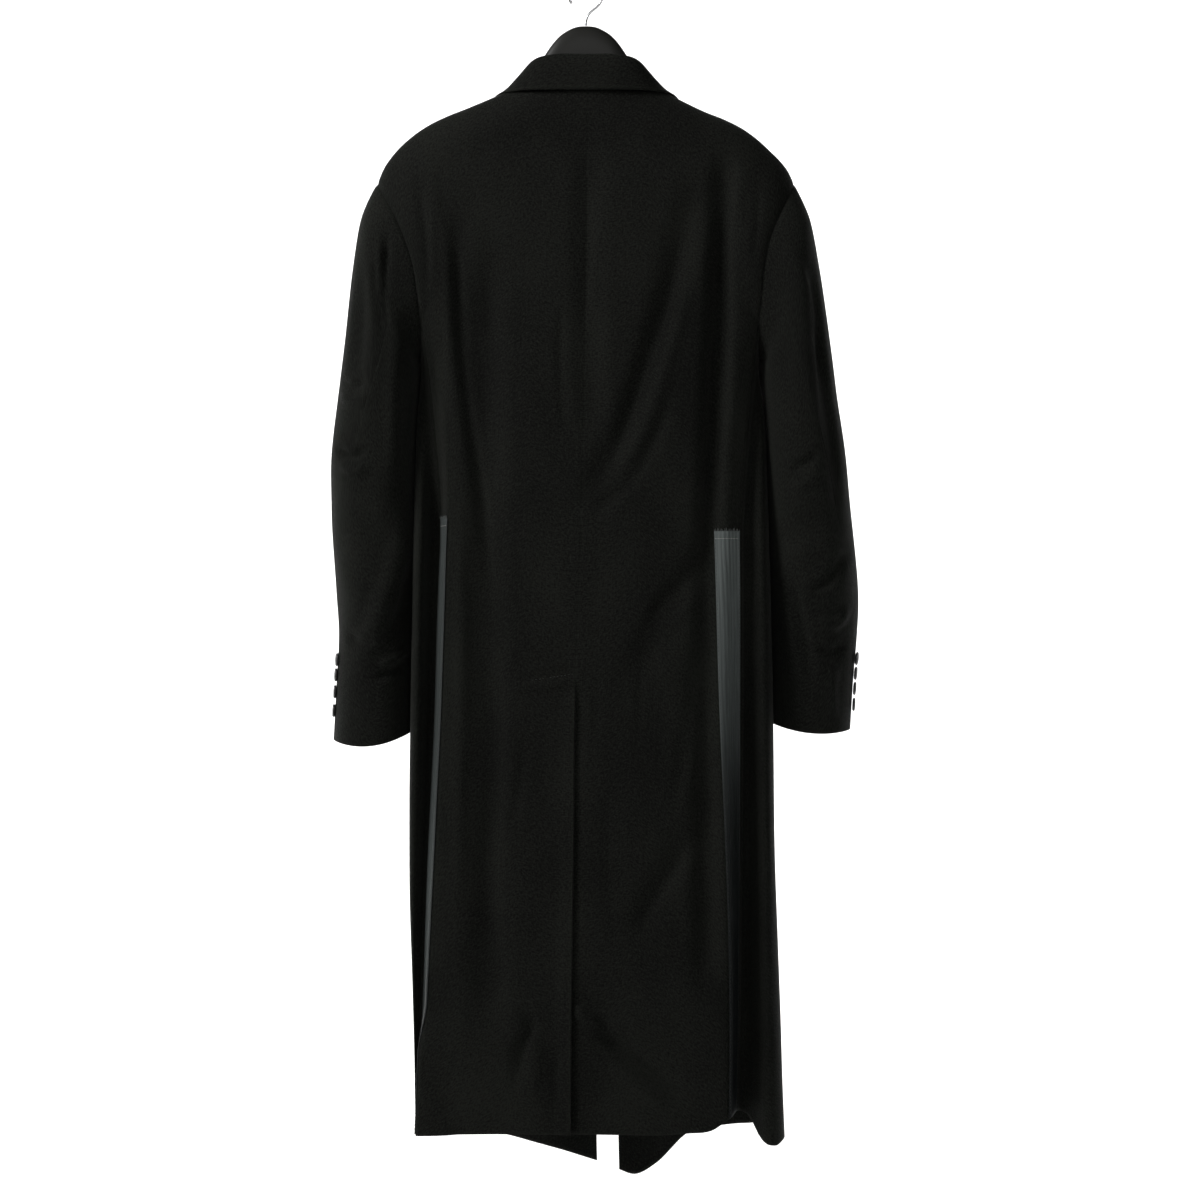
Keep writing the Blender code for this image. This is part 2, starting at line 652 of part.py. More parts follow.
def make_back(side, finish):
    hem = SIDE_HEM[side][0][1]
    points = back_surface(side, *grid(BACK_ACROSS, panel_rows(hem)))
    points = draw_in(points, ("column_first", "row_first"), SEAM_GAP / 2)
    points = draw_in(points, ("column_last",), DEEP_SEAM_GAP)
    return cloth_wall("back_" + side_name(side), points, finish)


def make_side(side, finish):
    length = SIDE_HEM[side][0][1] - ARM_END
    rows = [0.0] + [(drop - ARM_END) / length for drop in SKIRT_DROPS] + [1.0]
    points = side_surface(side, *grid(SIDE_ACROSS, rows))
    points = draw_in(points, ("column_first", "column_last"), DEEP_SEAM_GAP)
    points = draw_in(points, ("row_first",), SEAM_GAP)
    return cloth_wall("side_" + side_name(side), points, finish)


def make_front(side, finish):
    hem = SIDE_HEM[side][-1][1]
    points = front_surface(side, *grid(FRONT_ACROSS, panel_rows(hem)))
    points = draw_in(points, ("column_first",), DEEP_SEAM_GAP)
    points = draw_in(points, ("row_first",), SEAM_GAP / 2)
    return cloth_wall("front_" + side_name(side), points, finish)


def make_underlap(finish):
    """The right back's extension, which lies inside the left back below the vent's top."""
    hem = SIDE_HEM[-1][0][1]
    top = CENTRE[0][0]
    first = (VENT_DROP - top) / (BACK_HEM[2][1] - top)
    rows = [first] + [row for row in panel_rows(hem) if row > first + 0.01]
    points = back_surface(-1, *grid((0.0, 0.12, 0.24, 0.36), rows))
    inward = normals(points)
    inward = inward * np.sign(inward[..., 1:2])
    points = points + inward * UNDERLAP
    points[-1, :, 2] = points[-1, :, 2] - UNDERLAP_SHORTER
    return cloth_wall("vent_underlap", points, finish, thick=1.0)


def make_tape(side, finish):
    """Ribbed tape laid on the back along the side seam, from its raw top end to the hem."""
    hem = SIDE_HEM[side][0][1]
    first = (TAPE_TOP[side] - TIP_DROP) / (hem - TIP_DROP)
    rows = [first] + [row for row in panel_rows(hem) if row > first + 0.01]
    points = back_surface(side, *grid((1, 1.25, 1.5, 1.75, 2), rows))
    outward = normals(points)
    outward = outward * -np.sign(np.sum(outward * np.array([-side * 0.6, 1.0, 0.0]), axis=-1,
                                        keepdims=True))
    points = points + outward * (CLOTH / 2 + SEAM_GAP + TAPE_THICK / 2 + 0.2)
    points = draw_in(points, ("column_last", "row_last"), TAPE_SHORTER)
    return cloth_wall("tape_" + side_name(side), points, finish, thick=TAPE_THICK)


def sleeve_angles():
    """Angles of the sleeve's columns at the armhole, which match the panels' points."""
    under = [mix(BACK_SPLIT, FRONT_SPLIT, share) for share in SIDE_ACROSS[1:-1]]
    ahead = [360.0 - angle for angle in reversed(ARM_ANGLES)]
    return np.array(list(ARM_ANGLES) + under + ahead)


def make_sleeve(side, finish):
    """Top sleeve and under sleeve of one side."""
    at_top = sleeve_angles()
    even = np.linspace(0.0, 360.0, len(at_top))
    count = len(at_top) - 1
    pieces = {
        "under": list(range(HIND_SEAM, FORE_SEAM + 1)),
        "top": list(range(FORE_SEAM, count + HIND_SEAM + 1)),
    }
    for piece, index in pieces.items():
        top = np.array([at_top[i % count] + 360.0 * (i // count) for i in index])
        level = np.array([even[i % count] + 360.0 * (i // count) for i in index])
        top_grid, along = grid(top, SLEEVE_ALONG)
        level_grid, _ = grid(level, SLEEVE_ALONG)
        points = sleeve_surface(side, top_grid, level_grid, along)
        points = draw_in(points, ("column_first", "column_last"), SEAM_GAP * 1.4)
        points = draw_in(points, ("row_first",), SEAM_GAP * 2)
        name = "sleeve_" + side_name(side) + "_" + piece
        if name == "sleeve_right_top":
            # This cut piece bends most, so it is modelled in two lengths that meet at the elbow.
            lower = draw_in(points[ELBOW_ROW:], ("row_first",), SEAM_GAP / 2)
            cloth_wall(name + "_lower", lower, finish)
            points = draw_in(points[:ELBOW_ROW + 1], ("row_last",), SEAM_GAP / 2)
        cloth_wall(name, points, finish)


def make_collar(finish):
    round_half = (0.12, 0.24, 0.35, 0.45, 0.54, 0.63, 0.73, 0.84, 0.93, 1.0)
    around = [-value for value in reversed(round_half)] + [0.0] + list(round_half)
    over = (0, 0.18, 0.34, 0.42, 0.48, 0.56, 0.7, 0.85, 1)
    points = collar_surface(*grid(around, over))
    return cloth_wall("collar", draw_in(points, ("row_first",), 1.0), finish)


def make_lapel(side, finish):
    up = (0, 0.08, 0.17, 0.27, 0.38, 0.5, 0.62, 0.74, 0.86, 0.94, 1)
    over = (0, 0.14, 0.32, 0.55, 0.78, 1)
    across, rows = grid(over, up)
    points = lapel_surface(side, rows, across)
    return cloth_wall("lapel_" + side_name(side), points, finish)


def make_button(name, centre, outward, wide, finish):
    """A turned button with a rim and a dished face, its back towards the cloth."""
    radius = wide / 2
    thick = 0.2 * wide
    profile = ((0, 0.72 * thick), (0.62 * radius, 0.72 * thick), (0.76 * radius, thick),
               (0.94 * radius, 0.9 * thick), (radius, 0.45 * thick), (0.8 * radius, 0), (0, 0))
    line = bpy.data.meshes.new(name)
    corners = [(x * MM, 0.0, z * MM) for x, z in profile]
    line.from_pydata(corners, [(i, i + 1) for i in range(len(corners) - 1)], [])
    made = add_object(name, line, finish)
    turn = made.modifiers.new("turn", "SCREW")
    turn.steps = 14
    turn.render_steps = 14
    turn.use_merge_vertices = True
    turn.merge_threshold = 0.00005
    direction = Vector((outward[0], outward[1], -outward[2])).normalized()
    made.matrix_world = (Matrix.Translation(place(centre))
                         @ direction.to_track_quat("Z", "Y").to_matrix().to_4x4())
    return made


CUFF_BUTTON_ALONG = (0.878, 0.903, 0.928, 0.953)
FRONT_BUTTON_DROPS = (492, 592, 692)
FRONT_BUTTON_IN = 22.0        # from the front edge


def make_cuff_buttons(side, finish):
    """Four buttons beside the hind seam of the sleeve, close above the cuff."""
    for number, along in enumerate(CUFF_BUTTON_ALONG, start=1):
        angle = 15.0 * HIND_SEAM - 9.0
        step_along = np.array([along - 0.01, along, along + 0.01])
        angles, rows = grid((angle - 8.0, angle, angle + 8.0), step_along)
        points = sleeve_surface(side, angles, angles, rows)
        outward = normals(points)[1, 1]
        if outward[0] * side < 0:
            outward = -outward
        centre = points[1, 1] + outward * (CLOTH / 2 + 0.75)
        name = "cuff_button_" + side_name(side) + "_" + str(number)
        make_button(name, centre, outward, BUTTON_CUFF, finish)


def make_front_buttons(finish):
    """Three buttons down the wearer's right front."""
    for number, drop in enumerate(FRONT_BUTTON_DROPS, start=1):
        out = float(front_edge(1, drop)) + FRONT_BUTTON_IN
        y = float(front_at(1, np.array(out), np.array(float(drop))))
        centre = (out, y + CLOTH / 2 + 0.6, drop)
        make_button("front_button_" + str(number), centre, (0, 1, 0), BUTTON_FRONT, finish)


def make_hanger(finish):
    """Moulded hanger: a bell-shaped crest over two arms that fill the shoulders."""
    stations = [-row[0] for row in reversed(HANGER[1:])] + [row[0] for row in HANGER]
    turns = np.linspace(0.0, 360.0, 13)
    rings = []
    for x in stations:
        out = abs(x)
        top = float(column(HANGER, HANGER_COLUMNS, "top", out))
        bottom = float(column(HANGER, HANGER_COLUMNS, "bottom", out))
        half = float(column(HANGER, HANGER_COLUMNS, "half", out))
        swing = np.cos(np.radians(turns))
        lift = np.sin(np.radians(turns))
        y = half * lift
        drop = 0.5 * (top + bottom) - 0.5 * (bottom - top) * swing
        rings.append(np.stack([np.full_like(y, x), y, drop], axis=-1))
    mesh = grid_mesh("hanger", np.array(rings), close=True)
    shape = bmesh.new()
    shape.from_mesh(mesh)
    ends = [edge for edge in shape.edges if edge.is_boundary]
    bmesh.ops.holes_fill(shape, edges=ends, sides=0)
    bmesh.ops.recalc_face_normals(shape, faces=shape.faces)
    shape.to_mesh(mesh)
    shape.free()
    return add_object("hanger", mesh, finish)


def make_hook(finish):
    """Wire hook: a stem on the crest that bends into a ring open on one side."""
    bend = 17.0 + WIRE / 2
    centre = -17.0
    stem_foot = -(COLLAR_BELOW_RAIL + HANGER[0][1]) + SEAM_GAP
    route = [(0.0, stem_foot), (0.0, -48.5), (0.5, -44.5), (2.6, -39.8), (6.8, -35.2)]
    for angle in range(-48, 214, 18):
        turn = math.radians(angle)
        route.append((bend * math.cos(turn), centre + bend * math.sin(turn)))
    curve = bpy.data.curves.new("hanger_hook", "CURVE")
    curve.dimensions = "3D"
    curve.bevel_depth = WIRE / 2 * MM
    curve.bevel_resolution = 2
    curve.use_fill_caps = True
    spline = curve.splines.new("POLY")
    spline.points.add(len(route) - 1)
    for point, (x, z) in zip(spline.points, route):
        point.co = (x * MM, 0.0, z * MM, 1.0)
    made = bpy.data.objects.new("hanger_hook", curve)
    curve.materials.append(finish)
    coat.objects.link(made)
    return made


# ---------------------------------------------------------------- the coat

for old in list(bpy.data.objects):
    bpy.data.objects.remove(old, do_unlink=True)

coat = bpy.data.collections.new("long_coat")
bpy.context.scene.collection.children.link(coat)

wool = material("black_wool", (0.0065, 0.0072, 0.006), 0.85)
ribbon = material("grey_ribbed_tape", (0.05, 0.056, 0.053), 0.45)
horn = material("black_button", (0.008, 0.008, 0.008), 0.35)
moulded = material("hanger_plastic", (0.02, 0.02, 0.018), 0.5)
steel = material("hook_chrome", (0.75, 0.75, 0.76), 0.15, 1.0)

for coat_side in (-1, 1):
    make_back(coat_side, wool)
    make_side(coat_side, wool)
    make_front(coat_side, wool)
    make_sleeve(coat_side, wool)
    make_lapel(coat_side, wool)
    make_tape(coat_side, ribbon)
    make_cuff_buttons(coat_side, horn)
make_underlap(wool)
make_collar(wool)
make_front_buttons(horn)
make_hanger(moulded)
make_hook(steel)
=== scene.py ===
# %% [markdown]
# # A long tailored coat on a hanger
#
# A black wool coat hangs open on a moulded hanger, seen from behind.  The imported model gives
# every piece its place: one node for each piece that a tailor cuts.  This script puts a fine
# thin shell of cloth over each node, draws the creases that the photograph shows, and adds the
# sewing, the ribs of the tapes, the buttons' holes and the finishes.

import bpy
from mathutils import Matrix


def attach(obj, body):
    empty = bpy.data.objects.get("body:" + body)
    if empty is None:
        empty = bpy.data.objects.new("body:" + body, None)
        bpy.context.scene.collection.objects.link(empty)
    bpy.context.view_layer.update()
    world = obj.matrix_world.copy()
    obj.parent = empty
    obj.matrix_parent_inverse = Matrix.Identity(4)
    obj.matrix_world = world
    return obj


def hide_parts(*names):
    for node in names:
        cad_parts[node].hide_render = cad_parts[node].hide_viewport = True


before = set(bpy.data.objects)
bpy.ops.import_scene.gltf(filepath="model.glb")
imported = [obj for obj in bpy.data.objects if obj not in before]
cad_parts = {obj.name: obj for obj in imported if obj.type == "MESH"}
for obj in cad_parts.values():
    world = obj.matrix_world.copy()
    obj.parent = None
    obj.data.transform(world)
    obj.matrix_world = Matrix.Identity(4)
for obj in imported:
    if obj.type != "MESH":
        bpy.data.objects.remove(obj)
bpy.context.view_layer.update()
print("nodes in the frame:", len(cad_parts))

# %% Imports and units
import math

import bmesh
import bpy
import numpy as np
from mathutils import Matrix, Vector

MM = 0.001                    # tables are in millimetres
PIXEL = 1.10                  # millimetres of coat in one pixel of the photograph
MIDDLE_PIXEL = (585.5, 56.0)  # pixel of the coat's middle, at the top fold of the collar
COLLAR_BELOW_RAIL = 91.0
SIDES = (-1, 1)               # the wearer's left and right, by the sign of x


def side_name(side):
    return "left" if side < 0 else "right"


def seen(*places):
    """Places in the photograph, by pixel, as (x, drop) on the coat."""
    return [((px - MIDDLE_PIXEL[0]) * PIXEL, (py - MIDDLE_PIXEL[1]) * PIXEL) for px, py in places]


def in_metres(point):
    """A point in millimetres (x, y, drop below the collar's fold) as a vector in metres."""
    return Vector((point[0] * MM, point[1] * MM, -(COLLAR_BELOW_RAIL + point[2]) * MM))


def in_scene(name, data):
    """A new object, linked to the scene."""
    made = bpy.data.objects.new(name, data)
    bpy.context.scene.collection.objects.link(made)
    return made

# %% [markdown]
# ## Camera, light and floor
#
# The photograph looks straight at the coat's back from about three metres, with a long lens.
# The light is large and soft and comes mostly from the upper left, so the left sleeve is
# brightest and the lower right is dark.  The floor and the wall behind are one pale sheet that
# curves up, as in a photographer's studio, so no horizon crosses the picture.

# %% Camera
CAMERA_AWAY = 3000.0          # from the plane of the back
BACK_PLANE = -45.0            # y of that plane
FRAME_PIXELS = 1200
AIM_PIXEL = (600.0, 603.0)    # what the lens looks at
SENSOR = 36.0

lens = bpy.data.cameras.new("camera")
lens.sensor_width = SENSOR
lens.lens = SENSOR * CAMERA_AWAY / (FRAME_PIXELS * PIXEL)
camera = in_scene("camera", lens)
aim_x, aim_drop = seen(AIM_PIXEL)[0]
camera.location = in_metres((aim_x, BACK_PLANE - CAMERA_AWAY, aim_drop))
camera.rotation_euler = (math.radians(90.0), 0.0, 0.0)
bpy.context.scene.camera = camera
print(f"lens {lens.lens:.1f} mm")

# %% Soft studio light
LIGHTS = (                    # name, place, aim, width in metres, power in watts
    ("key_left", (-1.75, -0.95, 0.95), (0.0, 0.0, -0.35), 0.9, 50.0),
    ("fill_front", (0.2, -3.3, 1.2), (0.05, 0.0, -0.25), 1.3, 16.0),
    ("beyond_coat", (-0.5, 2.9, 1.3), (0.0, 0.0, -0.5), 1.2, 38.0),
    ("backdrop_left", (-2.4, 0.9, 0.9), (-2.4, 4.4, -1.0), 1.8, 170.0),
    ("backdrop_right", (2.4, 0.9, 0.9), (2.4, 4.4, -1.0), 1.8, 170.0),
)
STUDIO_GLOW = 0.085           # light that comes from all round


def softbox(name, where, aim, wide, power):
    """A square area light that points at a place on the coat or the backdrop."""
    light = bpy.data.lights.new(name, "AREA")
    light.shape = "SQUARE"
    light.size = wide
    light.energy = power
    made = in_scene(name, light)
    made.location = where
    made.rotation_euler = (Vector(aim) - Vector(where)).to_track_quat("-Z", "Y").to_euler()
    return made


softboxes = {row[0]: softbox(*row) for row in LIGHTS}
softboxes["beyond_coat"].visible_camera = False

studio = bpy.data.worlds.new("studio")
studio.use_nodes = True
studio.node_tree.nodes["Background"].inputs["Color"].default_value = (1.0, 1.0, 1.0, 1.0)
studio.node_tree.nodes["Background"].inputs["Strength"].default_value = STUDIO_GLOW
bpy.context.scene.world = studio
bpy.context.scene.view_settings.view_transform = "Standard"
print("lights:", list(softboxes))

# %% Helpers for materials and meshes
def feed(made, node, **values):
    """Set inputs and settings of a node by name, where _ stands for a space.

    A value is a plain one, or a source: a node with the name of one of its outputs.
    """
    for name, value in values.items():
        socket = name.replace("_", " ")
        if isinstance(value, tuple) and isinstance(value[0], bpy.types.Node):
            made.node_tree.links.new(value[0].outputs[value[1]], node.inputs[socket])
        elif socket in node.inputs:
            node.inputs[socket].default_value = value
        else:
            setattr(node, name, value)


def source(made, kind, output, **values):
    """Add a node, and return it with the name of the output that is wanted."""
    node = made.node_tree.nodes.new(kind)
    feed(made, node, **values)
    return node, output


def blank(name, roughness, **values):
    """A new material and its shader, with the values that are the same all over."""
    made = bpy.data.materials.new(name)
    made.use_nodes = True
    shader = made.node_tree.nodes["Principled BSDF"]
    feed(made, shader, Roughness=roughness, **values)
    return made, shader


def blend(made, share, first, second):
    """Mix two colours, each given as three numbers or as a source."""
    ends = [end if len(end) == 2 else (*end, 1.0) for end in (first, second)]
    return source(made, "ShaderNodeMix", "Result", data_type="RGBA", Factor=share, A=ends[0],
                  B=ends[1])


def as_mesh(name, shape, smooth_faces=True):
    """Turn a finished bmesh into a mesh."""
    for face in shape.faces:
        face.smooth = smooth_faces
    mesh = bpy.data.meshes.new(name)
    shape.to_mesh(mesh)
    shape.free()
    return mesh


# %% Floor and wall in one pale sweep
FLOOR_Z = -1.47
FLOOR_FRONT = -9.0
FLOOR_BACK = 3.2              # where the floor starts to curve up
SWEEP_RADIUS = 1.2
SWEEP_WIDE = 14.0
WALL_TOP = 7.0


def pale_paint():
    """Pale studio paint with the faintest mottle."""
    made, shader = blank("pale_paint", 0.9)
    spot = source(made, "ShaderNodeTexCoord", "Object")
    mottle = source(made, "ShaderNodeTexNoise", "Fac", Vector=spot, Scale=3.0)
    feed(made, shader, Base_Color=blend(made, mottle, (0.93, 0.93, 0.93), (0.96, 0.96, 0.955)))
    return made


def make_sweep():
    """Extrude a line of floor, quarter circle and wall sideways."""
    line = [(FLOOR_FRONT, FLOOR_Z)]
    for turn in range(0, 91, 9):
        angle = math.radians(turn)
        line.append((FLOOR_BACK + SWEEP_RADIUS * math.sin(angle),
                     FLOOR_Z + SWEEP_RADIUS * (1.0 - math.cos(angle))))
    line.append((FLOOR_BACK + SWEEP_RADIUS, WALL_TOP))
    shape = bmesh.new()
    corners = [shape.verts.new((-SWEEP_WIDE / 2, y, z)) for y, z in line]
    edges = [shape.edges.new(pair) for pair in zip(corners, corners[1:])]
    grown = bmesh.ops.extrude_edge_only(shape, edges=edges)
    moved = [part for part in grown["geom"] if isinstance(part, bmesh.types.BMVert)]
    bmesh.ops.translate(shape, verts=moved, vec=(SWEEP_WIDE, 0.0, 0.0))
    made = in_scene("sweep", as_mesh("sweep", shape))
    made.data.materials.append(pale_paint())
    return made


print("staged:", make_sweep().name)

# %% [markdown]
# ## Finishes
#
# The wool is a fine plain weave, nearly black, with a dry sheen where it turns away.  Its
# threads run with the cut of each piece, so they are drawn on the piece's own UV map, which is
# in metres.  An attribute is 1 along the free edges of the wool, where such cloth is worn and
# pressed a little shiny and paler.  On the tape the same attribute is painted shade: the share of
# its pale tone that the tape keeps, darker down its length where it lies in the deep fold.  The
# tape is a half-shiny ribbed grey, the buttons and the hanger are black plastic and
# the hook is plated wire.

# %% Helpers for patterns
WAVE_TURNS = 20.0 / (2.0 * math.pi)   # a band texture of scale 1 has this many bands a metre


def cut_map(made):
    """The piece's own UV map, in metres of cloth."""
    return source(made, "ShaderNodeUVMap", "UV", uv_map="cut")


# The attribute that holds worn edges on the wool and painted shade on the tape.
def wear_and_shade_share(made):
    return source(made, "ShaderNodeAttribute", "Fac", attribute_name="wear")


def object_place(made):
    return source(made, "ShaderNodeTexCoord", "Object")


def stretched_noise(made, where, scale, detail=2.0):
    """Noise on a place stretched by scale in each direction."""
    spread = source(made, "ShaderNodeMapping", "Vector", Vector=where, Scale=scale)
    return source(made, "ShaderNodeTexNoise", "Fac", Vector=spread, Scale=1.0, Detail=detail)


def bands(made, cloth_map, direction, pitch, **values):
    """Bands across one direction of the cloth, a pitch in metres apart."""
    return source(made, "ShaderNodeTexWave", "Fac", Vector=cloth_map, bands_direction=direction,
                  Scale=1.0 / (pitch * WAVE_TURNS), **values)


def reckon(made, operation, first, second):
    """A Math node on two values, each a number or a source."""
    node = made.node_tree.nodes.new("ShaderNodeMath")
    node.operation = operation
    for socket, value in zip(node.inputs, (first, second)):
        if isinstance(value, tuple):
            made.node_tree.links.new(value[0].outputs[value[1]], socket)
        else:
            socket.default_value = value
    return node, "Value"


def graded(made, value, **ends):
    return source(made, "ShaderNodeMapRange", "Result", Value=value, **ends)


def bump(made, height, strength, distance):
    return source(made, "ShaderNodeBump", "Normal", Height=height, Strength=strength,
                  Distance=distance)

# %% Black wool suiting
THREAD = 0.0009               # metres from one thread to the next
WOOL_DARK = (0.0016, 0.0019, 0.0013)
WOOL_LIGHT = (0.0114, 0.0124, 0.0100)


def weave_height(made, cloth_map):
    """Threads over and under each other: warp bands times weft bands."""
    warp, weft = [bands(made, cloth_map, way, THREAD, Distortion=0.7, Detail=1.0) for way in "XY"]
    return reckon(made, "MULTIPLY", reckon(made, "SUBTRACT", warp, 0.5),
                  reckon(made, "SUBTRACT", weft, 0.5))


def wool_cloth():
    """Plain weave of uneven yarn, paler where it is pressed."""
    made, shader = blank("black_wool", 0.8, Specular_IOR_Level=0.09, Sheen_Weight=0.03,
                         Sheen_Roughness=0.5, Sheen_Tint=(0.9, 0.92, 0.86, 1.0))
    cloth_map = cut_map(made)
    slub = stretched_noise(made, cloth_map, (560.0, 340.0, 1.0), detail=1.0)
    pick = stretched_noise(made, cloth_map, (300.0, 640.0, 1.0), detail=1.0)
    cloud = stretched_noise(made, cloth_map, (9.0, 5.0, 1.0), detail=3.0)
    yarn = reckon(made, "ADD", slub, pick)
    share = graded(made, reckon(made, "ADD", yarn, cloud), From_Min=1.22, From_Max=1.78)
    shade = blend(made, share, WOOL_DARK, WOOL_LIGHT)
    pressed = blend(made, reckon(made, "MULTIPLY", wear_and_shade_share(made), 0.3), shade,
                    tuple(1.5 * part for part in WOOL_LIGHT))
    height = reckon(made, "ADD", weave_height(made, cloth_map),
                    reckon(made, "MULTIPLY", yarn, 0.5))
    feed(made, shader, Base_Color=pressed, Roughness=graded(made, cloud, To_Min=0.72, To_Max=0.9),
         Normal=bump(made, height, 0.55, 0.0005))
    return made


wool = wool_cloth()
print("finish:", wool.name)

# %% Ribbed tape
CROSS_RIB = 0.0011            # metres from one fine cross rib to the next
# Painted shade: the near-black that the tape is painted where it runs into the deep fold.
TAPE_PAINTED_SHADE = (0.004, 0.005, 0.005)
TAPE_DARK = (0.048, 0.055, 0.053)
TAPE_LIGHT = (0.146, 0.164, 0.160)


def tape_cloth():
    """Half-shiny grey tape with fine cross ribs between its lengthwise ribs, and painted shade down
    its length.
    """
    made, shader = blank("grey_ribbed_tape", 0.5, Specular_IOR_Level=0.12)
    cloth_map = cut_map(made)
    cross = bands(made, cloth_map, "Y", CROSS_RIB, Distortion=0.4)
    streak = stretched_noise(made, cloth_map, (1200.0, 14.0, 1.0), detail=3.0)
    shade = blend(made, streak, TAPE_DARK, TAPE_LIGHT)
    # Painted shade: the attribute blends the tape towards near-black where it lies in the shadow of
    # the deep fold.
    feed(made, shader, Base_Color=blend(made, wear_and_shade_share(made), TAPE_PAINTED_SHADE, shade),
         Normal=bump(made, cross, 0.5, 0.0004))
    return made


ribbon = tape_cloth()

# %% Thread, buttons, hanger and hook
def thread_finish(name, colour):
    """Twisted sewing thread."""
    made, shader = blank(name, 0.6)
    twist = stretched_noise(made, object_place(made), (2500.0, 2500.0, 900.0))
    feed(made, shader, Base_Color=blend(made, twist, tuple(0.6 * part for part in colour), colour))
    return made


def moulded_finish(name, dark, light, roughness, grain, **values):
    """Moulded plastic: a fine grain and a slow change of tone."""
    made, shader = blank(name, roughness, Coat_Roughness=0.2, **values)
    spot = object_place(made)
    cloud = stretched_noise(made, spot, (28.0, 28.0, 28.0), detail=4.0)
    fine = stretched_noise(made, spot, (grain, grain, grain))
    feed(made, shader, Base_Color=blend(made, cloud, dark, light),
         Normal=bump(made, fine, 0.25, 0.0002))
    return made


def plated_finish():
    """Bright plated wire with faint drawing marks along it."""
    made, shader = blank("plated_wire", 0.16, Metallic=1.0)
    marks = stretched_noise(made, object_place(made), (700.0, 700.0, 120.0), detail=3.0)
    feed(made, shader, Base_Color=blend(made, marks, (0.62, 0.62, 0.63), (0.82, 0.82, 0.83)),
         Roughness=graded(made, marks, To_Min=0.1, To_Max=0.28))
    return made


black_thread = thread_finish("black_thread", (0.014, 0.014, 0.013))
pale_thread = thread_finish("pale_thread", (0.36, 0.37, 0.35))
ribbon_end = thread_finish("frayed_tape", (0.11, 0.12, 0.115))
horn = moulded_finish("black_button", (0.006, 0.006, 0.006), (0.014, 0.013, 0.012), 0.38, 900.0,
                      Coat_Weight=0.3)
plastic = moulded_finish("hanger_plastic", (0.008, 0.008, 0.0065), (0.014, 0.014, 0.0118), 0.5,
                         1400.0, Coat_Weight=0.05, Specular_IOR_Level=0.25)
chrome = plated_finish()
print("finishes:", [made.name for made in (ribbon, black_thread, pale_thread, horn, plastic)])

# %% [markdown]
# ## Sizes of the coat
#
# The tables give the coat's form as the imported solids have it: half widths and depths of the
# body at each drop below the collar's top fold, the armhole, the side-back seams with the deep
# folds that they lie in, the shoulder line, the hems and the sleeves.  Names of columns come
# first, so no number stands without its meaning.

# %% Body sizes
CLOTH = 1.2
TIP_DROP = 138.0
TIP_OUT = 232.0
NECK_OUT = 80.0
RIDGE_Y = -2.0
SHOULDER_ROUND = 45.0
ARM_MIDDLE = 236.0
ARM_TALL = 98.0
ARM_DEEP = 42.0
BACK_SPLIT = 129.4            # degrees round the armhole to the side-back seam
FRONT_SPLIT = 360.0 - BACK_SPLIT
UNDERARM_OUT = 0.4
ARM_FADE = 70.0
SIDE_FRONT = 128.0
VENT_DROP = 682.0
TAPE_TOP = {-1: 512.0, 1: 526.0}

BODY_COLUMNS = ("drop", "left", "right", "back", "front", "square")
BODY = (
    (100, 262, 262, 31, 33, 4.0),
    (140, 256, 256, 36, 37, 3.8),
    (200, 232, 234, 42, 43, 3.6),
    (260, 205, 211, 46, 47, 3.4),
    (300, 193, 202, 47, 49, 3.3),
    (335, 187, 197, 48, 50, 3.3),
    (420, 188, 200, 51, 53, 3.6),
    (520, 191, 203, 54, 56, 4.2),
    (700, 194, 207, 58, 60, 4.8),
    (900, 194.5, 210.5, 63, 64, 5.2),
    (1100, 190, 217, 68, 67, 5.4),
    (1260, 189, 223, 71, 70, 5.5),
)
ARMHOLE_COLUMNS = ("drop", "left", "right")
ARMHOLE = (
    (138, 232, 232), (148, 227, 228), (169, 215, 218), (202, 200, 204),
    (230, 191, 198), (268, 185, 194), (300, 182, 191), (334, 184, 193),
)
SEAM_COLUMNS = ("drop", "left", "right", "left_flank", "right_flank",
                "left_depth", "right_depth", "left_floor", "right_floor")
SEAM = (
    (300, 182, 191, 26, 28, 0, 0, 0, 0),
    (340, 175, 186, 22, 28, 1, 1, 0, 2),
    (420, 166, 178, 14, 28, 10, 3, 2, 8),
    (520, 160, 171, 9, 29, 26, 5, 4, 10),
    (600, 163, 171, 10, 27, 26, 9, 4, 10),
    (750, 167, 171, 9, 23, 27, 17, 4, 12),
    (880, 173, 170, 9, 17, 27, 23, 4, 14),
    (1040, 178, 168, 6, 11, 28, 26, 4, 14),
    (1190, 182, 165, 5, 9, 28, 27, 4, 12),
)
SHOULDER_COLUMNS = ("out", "left", "right")
SHOULDER = (
    (0, 31, 31), (30, 30.5, 30.5), (60, 30, 30), (80, 32, 32), (92, 37, 38), (108, 44, 46),
    (132, 54, 57.5), (156, 63.5, 67), (177, 74, 78), (193, 85, 90), (206, 96.5, 102),
    (217, 109, 113), (226, 123, 125), (232, 138, 138),
)
CENTRE = ((34, 3), (300, 1), (682, -9), (780, -14), (900, -16), (1040, -19), (1190, -21))
FRONT_EDGE_COLUMNS = ("drop", "left", "right")
FRONT_EDGE = (
    (36, -80, 80), (70, -79, 79), (110, -71, 71), (200, -51, 52), (300, -32, 35),
    (400, -15, 20), (470, -8, 15), (600, -4, 19), (800, 2, 26), (1000, 8, 32), (1260, 13, 38),
)
BACK_HEM = ((-183, 1187), (-120, 1185), (0, 1185), (110, 1184), (140, 1180), (158, 1168),
            (166, 1165))
SIDE_HEM = {-1: ((0, 1187), (0.3, 1189), (1, 1196)),
            1: ((0, 1165), (0.08, 1171), (0.16, 1192), (0.3, 1200), (0.45, 1196), (1, 1196))}
